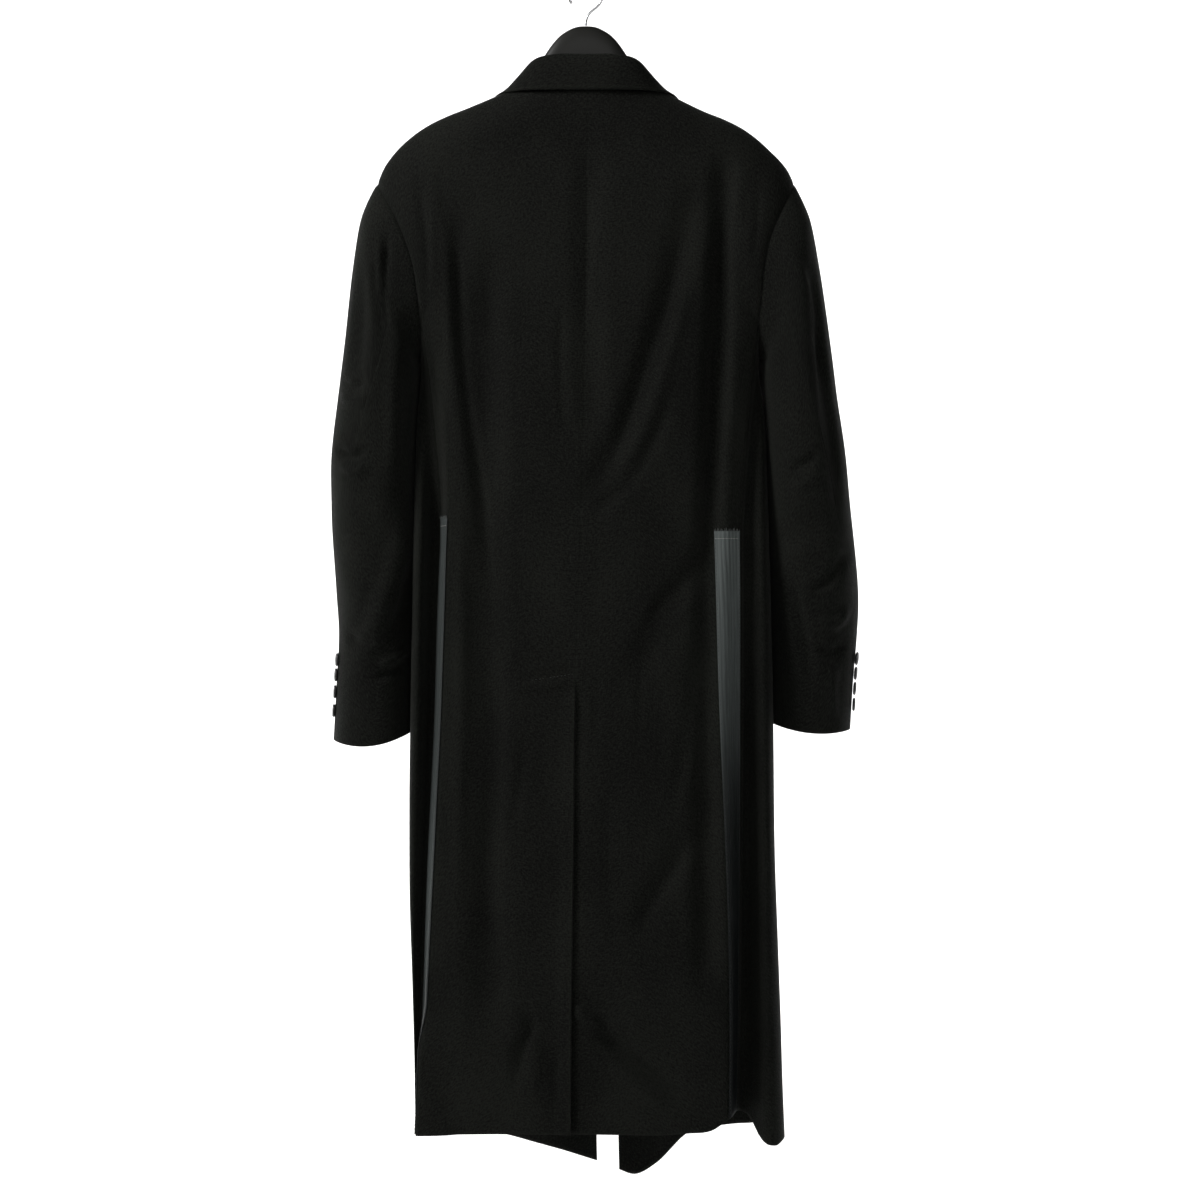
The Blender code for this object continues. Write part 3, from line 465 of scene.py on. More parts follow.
FRONT_HEM = {-1: ((-200, 1196), (-140, 1203), (-84, 1213), (14, 1242)),
             1: ((36, 1251), (56, 1257), (80, 1244), (112, 1211), (160, 1200), (225, 1196))}

# %% Sleeve, collar, lapel and hanger sizes
SLEEVE_COLUMNS = ("along", "outer", "outer_drop", "inner", "inner_drop", "deep", "middle", "turn")
SLEEVE = {
    -1: (
        (0.00, 232, 138, 184, 334, 42, 0, 0),
        (0.05, 241, 154, 189, 337, 46, 1, 0),
        (0.12, 250, 178, 191, 344, 51, 3, 2),
        (0.22, 259, 230, 192, 368, 56, 5, 8),
        (0.34, 268, 312, 190, 414, 60, 7, 18),
        (0.48, 279, 410, 191.6, 478, 60, 10, 34),
        (0.62, 284, 505, 193.8, 555, 57, 15, 52),
        (0.74, 279, 590, 194.8, 620, 54, 20, 66),
        (0.84, 276, 644, 195.6, 668, 52, 24, 76),
        (0.92, 279, 698, 196.2, 712, 51, 27, 82),
        (1.00, 283, 768, 196.6, 760, 50, 30, 86),
    ),
    1: (
        (0.00, 232, 138, 193, 334, 42, 0, 0),
        (0.05, 241, 154, 199, 337, 46, 1, 0),
        (0.12, 250, 178, 202, 344, 51, 3, 2),
        (0.22, 260, 230, 204, 368, 56, 5, 8),
        (0.34, 272, 312, 201.8, 414, 60, 7, 18),
        (0.48, 284, 405, 203.5, 474, 60, 10, 34),
        (0.62, 297, 510, 205.6, 550, 58, 15, 52),
        (0.74, 305, 594, 207.2, 614, 55, 20, 66),
        (0.84, 304, 643, 208.2, 661, 53, 24, 76),
        (0.92, 300, 695, 209.2, 704, 51, 27, 82),
        (1.00, 297, 753, 210, 747, 50, 30, 86),
    ),
}
SLEEVE_FULL = 2.4
SLEEVE_PARTS = 24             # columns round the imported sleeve
HIND_SEAM = 7                 # at these two columns of them
FORE_SEAM = 17
COLLAR_COLUMNS = ("round", "seam_x", "seam_y", "seam_drop", "fold_x", "fold_y", "fold_drop",
                  "edge_x", "edge_y", "edge_drop")
COLLAR = (
    (0.00, 0, -26, 29.5, 0, -30, -2.5, 0, -32.4, 37.5),
    (0.20, 32, -22, 29, 33, -29, -2.5, 38, -31.4, 37.2),
    (0.35, 56, -14, 29, 54, -24, 1.5, 64, -26.8, 37),
    (0.48, 75, -5, 30, 66, -12, 10.5, 83, -18.5, 37.5),
    (0.60, 77.5, 4, 32.5, 72, 2, 21.5, 95, -6, 37.5),
    (0.74, 76.5, 17, 43.5, 75, 15, 34.5, 105, 13, 43.0),
    (0.88, 73.5, 31, 60.5, 75, 31, 51.5, 110, 37, 54.5),
    (1.00, 69, 40, 76.5, 73, 45, 69.5, 104, 49, 78.5),
)
LAPEL_COLUMNS = ("up", "roll_drop", "edge_drop", "width")
LAPEL = (
    (0.00, 470, 474, 3), (0.15, 408, 416, 26), (0.35, 326, 338, 52),
    (0.60, 226, 240, 74), (0.85, 126, 148, 90), (1.00, 88, 108, 95),
)
HANGER_COLUMNS = ("out", "top", "bottom", "half")
HANGER = (
    (0, -39, 44, 8), (8, -38.6, 45, 8), (19, -34.6, 47, 8), (31, -26, 50, 8), (40, -15, 54, 7.5),
    (47, -4, 58, 7), (54, 10, 62, 6.5), (60, 22, 66, 6.5), (66, 32.5, 69, 7.5), (74, 34.5, 73, 9),
    (92, 39.6, 82, 13), (116, 51.8, 92, 16), (144, 64, 103, 18), (166, 74.4, 113, 17),
    (178, 82, 116, 13), (184, 90, 112, 7),
)
print("tables:", len(BODY), "body rows,", len(SEAM), "seam rows")

# %% [markdown]
# ## From tables to surfaces
#
# A smooth curve runs through each column of a table.  The surface functions turn a place on a
# cut piece, such as across 0 at the centre seam and down 1 at the hem, into a place on the
# hanging coat.  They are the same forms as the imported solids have, only read at finer steps.


# %% Curves through tables
def follow(rows, at):
    """Smooth value through rows of (place, value), held level beyond both ends."""
    place = np.array([row[0] for row in rows], float)
    value = np.array([row[1] for row in rows], float)
    slope = np.gradient(value, place)
    at = np.clip(np.asarray(at, float), place[0], place[-1])
    index = np.clip(np.searchsorted(place, at, side="right") - 1, 0, len(place) - 2)
    step = place[index + 1] - place[index]
    u = (at - place[index]) / step
    start = (2 * u**3 - 3 * u**2 + 1) * value[index]
    leave = (u**3 - 2 * u**2 + u) * slope[index] * step
    end = (3 * u**2 - 2 * u**3) * value[index + 1]
    arrive = (u**3 - u**2) * slope[index + 1] * step
    return start + leave + end + arrive


def column(table, columns, name, at):
    """Read one named column of a table whose first column is the place."""
    index = columns.index(name)
    return follow([(row[0], row[index]) for row in table], at)


def smooth(value):
    value = np.clip(value, 0.0, 1.0)
    return value * value * (3.0 - 2.0 * value)


def bell(value):
    """1 at 0, falling smoothly to 0 at 1 and -1."""
    return 0.5 + 0.5 * np.cos(np.pi * np.clip(np.abs(value), 0.0, 1.0))


def mix(start, end, share):
    return start + (end - start) * share


def body(name, drop):
    return column(BODY, BODY_COLUMNS, name, drop)


def half_width(side, drop):
    return body(side_name(side), drop)


def shoulder(side, out):
    return column(SHOULDER, SHOULDER_COLUMNS, side_name(side), out)


def armhole_out(side, drop):
    return column(ARMHOLE, ARMHOLE_COLUMNS, side_name(side), drop)


def seam(name, drop):
    return column(SEAM, SEAM_COLUMNS, name, drop)


def front_edge(side, drop):
    return column(FRONT_EDGE, FRONT_EDGE_COLUMNS, side_name(side), drop)


def sleeve_size(side, name, along):
    return column(SLEEVE[side], SLEEVE_COLUMNS, name, along)


# %% Large folds of the body
BACK_FOLDS = (                # name, line of (drop, x), half width, depth
    ("left soft valley", ((240, -110), (600, -109), (1060, -106)), 20, 7),
    ("right valley", ((120, 153), (312, 146), (518, 136), (1010, 132)), 14, 9),
    ("centre valley", ((110, 4), (300, 3), (420, 8)), 16, 4),
    ("diagonal below shoulder", ((150, 122), (378, 60), (490, 10)), 20, 5),
    ("left armhole ridge", ((150, -166), (250, -158), (380, -140)), 14, -4),
    ("waist curve", ((540, 130), (600, 105), (690, 50)), 22, 4),
    ("skirt curve", ((840, 122), (900, 90), (960, 66)), 20, 4),
    ("hem wrinkle", ((1030, 4), (1104, 60), (1160, 120)), 18, 4),
)
FRONT_FOLDS = (
    ("left chest drape", ((120, -150), (420, -128), (900, -112)), 22, 6),
    ("left skirt drape", ((640, -70), (900, -62), (1230, -54)), 26, 7),
    ("right chest drape", ((130, 148), (400, 130), (860, 122)), 24, 6),
    ("right skirt drape", ((560, 92), (900, 96), (1240, 100)), 24, 9),
)
FOLD_FADE = 70.0


def folds(table, x, drop):
    """Sum of the large soft folds at a place, as a distance into the body."""
    total = np.zeros_like(x)
    for _name, line, half, depth in table:
        centre = follow(line, drop)
        first = line[0][0]
        last = line[-1][0]
        grow = smooth((drop - first) / FOLD_FADE + 0.5) * smooth((last - drop) / FOLD_FADE + 0.5)
        total = total + depth * grow * bell((x - centre) / (half * 1.6))
    return total


def fullness(side, out, drop):
    """How much of its full depth the body has at a distance from the middle."""
    square = body("square", drop)
    share = np.clip(np.abs(out) / half_width(side, drop), 0.0, 1.0)
    return np.clip(1.0 - share**square, 0.0, 1.0) ** (1.0 / square)


def deep_fold(side, out, drop):
    """The deep fold at the side-back seam, as a distance towards the front."""
    name = side_name(side)
    seam_at = seam(name, drop)
    depth = seam(name + "_depth", drop)
    inner = depth * bell((out - seam_at) / np.maximum(seam(name + "_flank", drop), 1.0))
    floor = 5.0
    outer_width = 0.72 * (half_width(side, drop) - seam_at)
    beyond = np.maximum(out - seam_at - floor, 0.0)
    deeper = depth + seam(name + "_floor", drop) * smooth((out - seam_at) / floor)
    outer = deeper * bell(beyond / np.maximum(outer_width, 1.0))
    return np.where(out <= seam_at, inner, outer)


# %% Seams that pieces share
def armhole(side, angle):
    """Point of the armhole, 0 at the shoulder tip and 90 at the back: out, y, drop."""
    turn = np.radians(angle)
    drop = ARM_MIDDLE - ARM_TALL * np.cos(turn)
    return armhole_out(side, drop), -ARM_DEEP * np.sin(turn), drop


ARM_END = float(ARM_MIDDLE - ARM_TALL * math.cos(math.radians(BACK_SPLIT)))


NAPE_BEHIND = 24.0            # how far the nape lies behind the shoulder seams


def neck_y(out):
    """The neck edge runs from the nape forward to the shoulder seam."""
    return RIDGE_Y - NAPE_BEHIND * np.clip(1.0 - (out / NECK_OUT) ** 2, 0.0, 1.0)


def shoulder_rise(below):
    """How far the shoulder has turned down, 0 on the ridge and 1 on the flat."""
    left = 1.0 - np.clip(below / SHOULDER_ROUND, 0.0, 1.0)
    return np.sqrt(np.clip(1.0 - left * left, 0.0, 1.0))


def seam_y(side, drop):
    """y of the side-back seam, which leaves the armhole smoothly."""
    out = seam(side_name(side), drop)
    plain = -body("back", drop) * fullness(side, out, drop) + deep_fold(side, out, drop)
    start_out = seam(side_name(side), ARM_END)
    start = -body("back", ARM_END) * fullness(side, start_out, ARM_END)
    arm_y = armhole(side, BACK_SPLIT)[1]
    return plain + (arm_y - start) * (1.0 - smooth((drop - ARM_END) / ARM_FADE))


def section(side, angle, drop):
    """Body section: 0 at the middle of the back, 90 at the side, 180 in front."""
    square = body("square", drop)
    turn = np.radians(angle)
    out = half_width(side, drop) * np.abs(np.sin(turn)) ** (2.0 / square)
    share = np.abs(np.cos(turn)) ** (2.0 / square)
    behind = -body("back", drop) * share + deep_fold(side, out, drop) * (share > 0)
    ahead = body("front", drop) * share
    return out, np.where(np.asarray(angle) < 90.0, behind, ahead)


def side_front(side, drop):
    """Seam between the side panel and the front, below the armhole."""
    out, y = section(side, SIDE_FRONT, drop)
    start_out, start_y = section(side, SIDE_FRONT, ARM_END)
    arm_out, arm_y, _ = armhole(side, FRONT_SPLIT)
    left = 1.0 - smooth((drop - ARM_END) / ARM_FADE)
    return out + (arm_out - start_out) * left, y + (arm_y - start_y) * left


def arm_edge_y(drop, front):
    """y of the armhole edge at a drop, behind or in front."""
    lean = np.clip((ARM_MIDDLE - drop) / ARM_TALL, -1.0, 1.0)
    y = ARM_DEEP * np.sqrt(np.clip(1.0 - lean * lean, 0.0, 1.0))
    return y if front else -y


# %% Panel surfaces
BACK_SETTLES = 60.0           # folds reach their depth this far below the shoulder
FRONT_SETTLES = 80.0
SEAM_DRAWS = (0.55, 1.45)     # where across a back its side seam starts to draw it, how softly
FRONT_FOOT = 1260.0           # a drop below both front hems, about
HEM_PARTS = 0.12              # share across at which a front's hem has left the side panel's
EDGE_DRAWS = 0.7              # share of a front that its side edge draws


def back_surface(side, across, down):
    """Half of the back: across 0 centre seam, 1 tape edge, 2 side seam; down 0 to 1."""
    hem_edge = SIDE_HEM[side][0][1]
    edge_drop = mix(TIP_DROP, hem_edge, down)
    seam_line = seam(side_name(side), edge_drop)
    edge = np.where(edge_drop < ARM_END, armhole_out(side, edge_drop), seam_line)

    def spread(outer, at_drop):
        flank = seam(side_name(side) + "_flank", at_drop)
        centre = side * follow(CENTRE, at_drop)
        inner = mix(centre, outer - flank, np.clip(across, None, 1.0))
        return inner + flank * np.clip(across - 1.0, 0.0, 1.0)

    out = spread(edge, edge_drop)
    top_share = out / edge
    top = shoulder(side, np.abs(top_share) * TIP_OUT)
    hem = follow(BACK_HEM, side * spread(seam(side_name(side), hem_edge), hem_edge))
    drop = mix(top, hem, down)
    below = drop - top
    neck = neck_y(np.abs(top_share) * TIP_OUT)

    def depth(at, at_drop):
        plain = -body("back", at_drop) * fullness(side, at, at_drop)
        return plain + deep_fold(side, at, at_drop)

    y = mix(neck, depth(out, drop), shoulder_rise(below))
    y = y + folds(BACK_FOLDS, side * out, drop) * smooth(below / BACK_SETTLES)
    edge_now = mix(RIDGE_Y, depth(edge, edge_drop), shoulder_rise(edge_drop - TIP_DROP))
    edge_wanted = np.where(edge_drop < ARM_END, arm_edge_y(edge_drop, False),
                           seam_y(side, edge_drop))
    edge_folds = folds(BACK_FOLDS, side * edge, edge_drop)
    edge_folds = edge_folds * smooth((edge_drop - TIP_DROP) / BACK_SETTLES)
    weight = smooth((across - SEAM_DRAWS[0]) / SEAM_DRAWS[1])
    y = y + (edge_wanted - edge_now - edge_folds) * weight
    return np.stack([side * out, y, drop], axis=-1)


def side_surface(side, across, down):
    """Side panel under the arm: across 0 side-back seam, 1 side-front seam."""
    angle = mix(BACK_SPLIT, FRONT_SPLIT, across)
    arm_out, arm_y, top = armhole(side, angle)
    drop = mix(top, follow(SIDE_HEM[side], across), down)

    def on_section(at_drop):
        share = seam(side_name(side), at_drop) / half_width(side, at_drop)
        first = np.degrees(np.arcsin(np.clip(share, 0.0, 1.0) ** (body("square", at_drop) / 2.0)))
        return section(side, mix(first, SIDE_FRONT, across), at_drop)

    out, y = on_section(drop)
    start_out, start_y = on_section(top)
    left = 1.0 - smooth((drop - top) / ARM_FADE)
    out = out + (arm_out - start_out) * left
    y = y + (arm_y - start_y) * left
    return np.stack([side * out, y, drop], axis=-1)


def front_surface(side, across, down):
    """Half of the front: across 0 side-front seam, 1 front edge or roll line."""
    side_hem = SIDE_HEM[side][-1][1]
    edge_drop = mix(TIP_DROP, side_hem, down)
    low_out, low_y = side_front(side, edge_drop)
    outer = np.where(edge_drop < ARM_END, armhole_out(side, edge_drop), low_out)
    top_out = mix(TIP_OUT, NECK_OUT, across)
    top = shoulder(side, top_out)
    inner_hem = follow(FRONT_HEM[side], front_edge(side, FRONT_FOOT))
    inner_drop = mix(shoulder(side, NECK_OUT), inner_hem, down)
    inner = side * front_edge(side, inner_drop)
    out = mix(outer, inner, across)
    low_edge = side_front(side, side_hem)[0]
    low_inner = side * front_edge(side, inner_hem)
    hem = follow(FRONT_HEM[side], side * mix(low_edge, low_inner, across))
    hem = mix(side_hem, hem, smooth(across / HEM_PARTS))
    drop = mix(top, hem, down)
    below = drop - top
    y = mix(RIDGE_Y, body("front", drop) * fullness(side, out, drop), shoulder_rise(below))
    y = y - folds(FRONT_FOLDS, side * out, drop) * smooth(below / FRONT_SETTLES)
    full = body("front", edge_drop) * fullness(side, outer, edge_drop)
    edge_now = mix(RIDGE_Y, full, shoulder_rise(edge_drop - TIP_DROP))
    edge_now = edge_now - (folds(FRONT_FOLDS, side * outer, edge_drop)
                           * smooth((edge_drop - TIP_DROP) / FRONT_SETTLES))
    edge_wanted = np.where(edge_drop < ARM_END, arm_edge_y(edge_drop, True), low_y)
    y = y + (edge_wanted - edge_now) * smooth(1.0 - across / EDGE_DRAWS)
    return np.stack([side * out, y, drop], axis=-1)


# %% Sleeve, collar and lapel surfaces
SLEEVE_SWELLS = (             # along, angle, half length, half angle, depth
    (0.30, 60, 0.16, 26, 6),
    (0.52, 40, 0.10, 55, -4),
    (0.60, 95, 0.05, 60, 4),
    (0.72, 80, 0.06, 60, -4),
    (0.16, 220, 0.13, 48, -13),
    (0.27, 218, 0.16, 48, -9),
)
AGAINST_SIDE = (              # the finished sleeve hangs right against the coat
    (0.19, 205, 0.16, 60, -4),
    (0.12, 215, 0.12, 62, -7),
    (0.20, 150, 0.18, 55, -6),
    (0.45, 205, 0.22, 45, -3.5),
    (0.70, 190, 0.24, 60, -3),
)


SLEEVE_EVEN_BY = 0.4          # share of the sleeve by which its columns are evenly spaced
SLEEVE_FREE_BY = 0.12         # and by which it has left the armhole's line


def sleeve_surface(side, angle_top, angle_even, along):
    """Point of a sleeve tube: angles at the armhole and further down."""
    outer, outer_drop, inner, inner_drop, full_depth, middle, twist = (
        sleeve_size(side, name, along) for name in SLEEVE_COLUMNS[1:])
    angle = mix(angle_top, angle_even, smooth(along / SLEEVE_EVEN_BY)) - twist
    turn = np.radians(angle)
    power = 2.0 / SLEEVE_FULL
    swing = np.sign(np.cos(turn)) * np.abs(np.cos(turn)) ** power
    lift = np.sign(np.sin(turn)) * np.abs(np.sin(turn)) ** power
    bulge = np.zeros_like(along)
    for place, at, tall, wide, depth in SLEEVE_SWELLS + AGAINST_SIDE:
        apart = (angle - at + 180.0) % 360.0 - 180.0
        bulge = bulge + depth * bell((along - place) / tall) * bell(apart / wide)
    out = 0.5 * (outer + inner) + (0.5 * (outer - inner) - bulge) * swing
    drop = 0.5 * (outer_drop + inner_drop) + 0.5 * (outer_drop - inner_drop) * swing
    y = middle - (full_depth - bulge) * lift
    arm_out, arm_y, arm_drop = armhole(side, angle_top)
    arm_out = arm_out + UNDERARM_OUT * bell((angle_top % 360.0 - 180.0) / 90.0)
    free = smooth(along / SLEEVE_FREE_BY)
    out = mix(arm_out, out, free)
    y = mix(arm_y, y, free)
    drop = mix(arm_drop, drop, free)
    return np.stack([side * out, y, drop], axis=-1)


COLLAR_FOLD = 0.45            # share of the collar's width that is the stand
COLLAR_ROLL = 2.4             # how far it swells out past the fold, and in before it
FALL_SWELL = (0.62, 0.3)      # middle of the swell over the collar, and its half width
STAND_SWELL = (0.28, 0.25)


def collar_surface(side_round, over):
    """Collar: round -1 to 1 past the nape at 0, over 0 neck seam, then fold, 1 outer edge."""
    far = np.abs(side_round)
    side = np.where(side_round < 0, -1.0, 1.0)

    def line(name):
        parts = [column(COLLAR, COLLAR_COLUMNS, name + end, far) for end in ("_x", "_y", "_drop")]
        return np.stack(parts, axis=-1)

    seam_line = line("seam")
    fold_line = line("fold")
    edge_line = line("edge")
    up = np.clip(over / COLLAR_FOLD, 0.0, 1.0)[..., None]
    down = np.clip((over - COLLAR_FOLD) / (1.0 - COLLAR_FOLD), 0.0, 1.0)[..., None]
    point = mix(mix(seam_line, fold_line, up), edge_line, down)
    away = edge_line - seam_line
    away[..., 2] = 0.0
    away = away / np.maximum(np.linalg.norm(away, axis=-1, keepdims=True), 1e-6)
    roll = COLLAR_ROLL * (bell((over - FALL_SWELL[0]) / FALL_SWELL[1])
                          - bell((over - STAND_SWELL[0]) / STAND_SWELL[1]))
    point = point + away * roll[..., None]
    point[..., 0] = point[..., 0] * side
    return point


ACROSS_STEP = 150.0           # millimetres that a whole step across a front makes, about
DOWN_STEP = 1150.0
CLOSING_STEPS = 12
FIRST_ACROSS = 0.8            # the steps start from here
FRONT_LONG = 1060.0


def front_at(side, out, drop):
    """y of the front panel at a distance from the middle and a drop, found by closing in."""
    across = np.full_like(out, FIRST_ACROSS)
    down = np.clip((drop - TIP_DROP) / FRONT_LONG, 0.0, 1.0)
    for _ in range(CLOSING_STEPS):
        point = front_surface(side, across, down)
        across = np.clip(across - (out - side * point[..., 0]) / ACROSS_STEP, 0.0, 1.0)
        down = np.clip(down + (drop - point[..., 2]) / DOWN_STEP, 0.0, 1.0)
    return front_surface(side, across, down)[..., 1]


LAPEL_IN = 0.4                # how far it starts inside the roll line
LAPEL_OFF = 2.3               # how far it lies off the front
LAPEL_ROLL = 4.0              # and how much further where it rolls over


def lapel_surface(side, up, over):
    """Lapel: up 0 at the break to 1 at the gorge, over 0 roll line to 1 outer edge."""
    roll_drop, edge_drop, width = (column(LAPEL, LAPEL_COLUMNS, name, up)
                                   for name in LAPEL_COLUMNS[1:])
    roll = side * front_edge(side, roll_drop)
    drop = mix(roll_drop, edge_drop, over)
    out = roll + LAPEL_IN + width * over
    stand_off = LAPEL_OFF + LAPEL_ROLL * bell((over - 0.25) / 0.6) * smooth(up / 0.2)
    y = front_at(side, out, drop) + stand_off
    return np.stack([side * out, y, drop], axis=-1)


print(f"armhole ends {ARM_END:.0f} mm below the collar")

# %% [markdown]
# ## Creases
#
# Cloth that hangs is never quite even.  Each crease is drawn as a line where it shows, with
# half its width, its depth and how much steeper one flank is than the other.  Its ends fade
# out.  Depth is into the coat, so a ridge has a depth below zero.  Creases on the hidden front
# are of the same kinds.


# %% Drawing creases
LINE_STEPS = 4                # short straight lines between two places of a crease
CREASE_ENDS = 0.3             # share of a crease over which each end fades
WANDER_SLOW = 0.55            # millimetres
WANDER_QUICK = 0.16


def crease_field(table, x, drop):
    """Depth of all creases in a table at each place, towards the inside of the coat."""
    total = np.zeros_like(x)
    for _name, line, half, depth, lean in table:
        share = np.linspace(0.0, 1.0, len(line))
        fine = np.linspace(0.0, 1.0, LINE_STEPS * (len(line) - 1) + 1)
        line_x = follow(list(zip(share, [place[0] for place in line])), fine)
        line_drop = follow(list(zip(share, [place[1] for place in line])), fine)
        nearest = np.full_like(x, np.inf)
        away = np.zeros_like(x)
        along = np.zeros_like(x)
        for index in range(len(fine) - 1):
            step_x = line_x[index + 1] - line_x[index]
            step_drop = line_drop[index + 1] - line_drop[index]
            from_x = x - line_x[index]
            from_drop = drop - line_drop[index]
            length = step_x**2 + step_drop**2
            reach = np.clip((from_x * step_x + from_drop * step_drop) / length, 0.0, 1.0)
            apart = np.hypot(from_x - step_x * reach, from_drop - step_drop * reach)
            closer = apart < nearest
            hand = np.where(step_drop * from_x - step_x * from_drop > 0, 1.0, -1.0)
            nearest = np.where(closer, apart, nearest)
            away = np.where(closer, apart * hand, away)
            along = np.where(closer, (index + reach) / (len(fine) - 1), along)
        flank = away / half
        flank = np.where(flank > 0, flank * (1.0 + lean), flank * (1.0 - lean))
        ends = smooth(along / CREASE_ENDS) * smooth((1.0 - along) / CREASE_ENDS)
        total = total + depth * bell(flank) * ends
    return total


def wander(x, drop, shift):
    """The slight unevenness that no hanging cloth is without; shift makes panels differ."""
    slow = np.sin(x / 29.0 + 1.3 * np.sin(drop / 131.0 + shift)) * np.sin(drop / 88.0 + 2.0 * shift)
    quick = np.sin(x / 12.5 + 1.1 * np.sin(drop / 47.0 + shift)) * np.sin(drop / 39.0 - shift)
    return WANDER_SLOW * slow + WANDER_QUICK * quick


# %% Creases of the back
BACK_CREASES = (              # name, line, half width, depth, lean of one flank
    ("left shoulder pinch", seen((441, 160), (442, 192), (446, 228)), 6, 1.8, 0.3),
    ("left armhole pinch", seen((419, 172), (422, 205), (427, 240), (428, 275), (426, 304)), 6,
     2.2, 0.3),
    ("left long valley", seen((457, 224), (458, 260), (460, 300), (464, 360), (470, 415),
                              (480, 475), (490, 560), (497, 650)), 10, 5.4, 0.4),
    ("left long ridge", seen((446, 214), (448, 270), (450, 340), (456, 430)), 9, -2.2, 0.0),
    ("left blade swell", seen((474, 200), (478, 280), (484, 370)), 14, -1.4, 0.0),
    ("middle valley", seen((588, 165), (588, 240), (586, 300), (583, 345)), 8, 1.1, 0.2),
    ("middle ridge", seen((600, 180), (598, 260), (592, 330)), 9, -0.8, 0.0),
    ("middle lower streak", seen((562, 300), (559, 370), (566, 450)), 7, 1.9, -0.3),
    ("blade diagonal", seen((694, 200), (672, 290), (648, 360), (626, 430), (602, 482)), 10, 3.0,
     0.4),
    ("blade diagonal ridge", seen((704, 236), (678, 330), (652, 412), (629, 460), (604, 486)), 11,
     -3.0, 0.0),
    ("blade second diagonal", seen((682, 372), (660, 430), (634, 480), (604, 508), (588, 520)), 13,
     2.8, 0.0),
    ("waist ridge", seen((590, 534), (630, 529), (690, 524)), 9, -0.9, 0.0),
    ("right armhole pinch", seen((757, 160), (758, 200), (756, 240), (749, 280)), 6, 2.0, -0.3),
    ("right shoulder drape", seen((741, 150), (736, 240), (731, 330)), 10, -1.6, 0.0),
    ("right valley edge", seen((726, 150), (722, 250), (716, 340), (711, 430), (705, 530),
                               (703, 600)), 9, 4.6, -0.6),
    ("left valley lower", seen((494, 600), (497, 760), (492, 900), (504, 1010)), 16, 3.2, 0.2),
    ("left tape ridge", seen((460, 480), (462, 640), (460, 800), (458, 960)), 11, -1.8, 0.0),
    ("left tape pull", seen((462, 570), (470, 590), (490, 600)), 9, 1.2, 0.0),
    ("waist curve", seen((704, 540), (688, 580), (662, 606), (638, 652)), 12, 2.8, 0.2),
    ("waist curve ridge", seen((712, 566), (696, 600), (672, 628), (652, 668)), 12, -1.6, 0.0),
    ("vent side fold", seen((641, 655), (639, 690), (638, 720), (634, 770)), 5, 1.8, -0.3),
    ("vent side sweep", seen((692, 640), (690, 700), (684, 765), (668, 832)), 12, 2.6, 0.2),
    ("skirt sweep", seen((692, 836), (676, 870), (652, 905), (636, 950)), 13, 3.2, 0.3),
    ("skirt left streak", seen((524, 735), (520, 790), (508, 850)), 10, 1.8, 0.0),
    ("skirt middle streak", seen((612, 780), (608, 860), (616, 950)), 12, 1.4, 0.0),
    ("vent press mark", seen((597, 664), (597, 700), (597, 752)), 3.5, 1.1, 0.0),
    ("vent press top", seen((578, 672), (588, 671), (600, 672)), 3.5, 1.0, 0.0),
    ("vent top valley", seen((516, 683), (545, 679), (582, 673)), 4, 1.5, 0.0),
    ("vent top ridge", seen((508, 690), (545, 688), (580, 682)), 6, -2.6, 0.0),
    ("hem dent left", seen((512, 1004), (534, 1024), (524, 1050), (514, 1104)), 10, 6.0, 0.4),
    ("hem dent left ridge", seen((536, 1040), (538, 1064), (532, 1096)), 9, -2.6, 0.0),
    ("hem dent right", seen((602, 1008), (612, 1040), (640, 1064), (672, 1092), (698, 1112)), 11,
     5.0, 0.3),
    ("hem lift", seen((572, 1004), (586, 1019), (602, 1022)), 9, -6.0, 0.0),
    ("hem lift shade", seen((584, 1034), (606, 1040), (634, 1046)), 9, 3.6, 0.0),
    ("hem middle streak", seen((560, 1040), (556, 1080), (560, 1116)), 9, 2.4, 0.0),
    ("hem ridge", seen((600, 1062), (640, 1088), (668, 1110)), 10, -3.4, 0.0),
)

# %% Creases of the fronts, and of the sleeves from behind and from in front
FRONT_CREASES = (
    ("left chest break", ((-120, 300), (-104, 360), (-70, 420)), 12, 2.2, 0.2),
    ("right chest break", ((124, 290), (110, 360), (78, 430)), 12, 2.2, -0.2),
    ("left waist pull", ((-150, 470), (-110, 500), (-60, 520)), 10, 1.8, 0.0),
    ("right waist pull", ((150, 480), (112, 505), (64, 516)), 10, 1.8, 0.0),
    ("left skirt streak", ((-110, 700), (-104, 860), (-112, 1030)), 13, 2.0, 0.3),
    ("right skirt streak", ((140, 640), (150, 820), (146, 1040)), 13, 2.2, -0.3),
    ("left hem dent", ((-70, 1110), (-50, 1160), (-58, 1210)), 11, 1.8, 0.0),
    ("right hem dent", ((80, 1100), (96, 1160), (88, 1210)), 11, 2.0, 0.0),
)
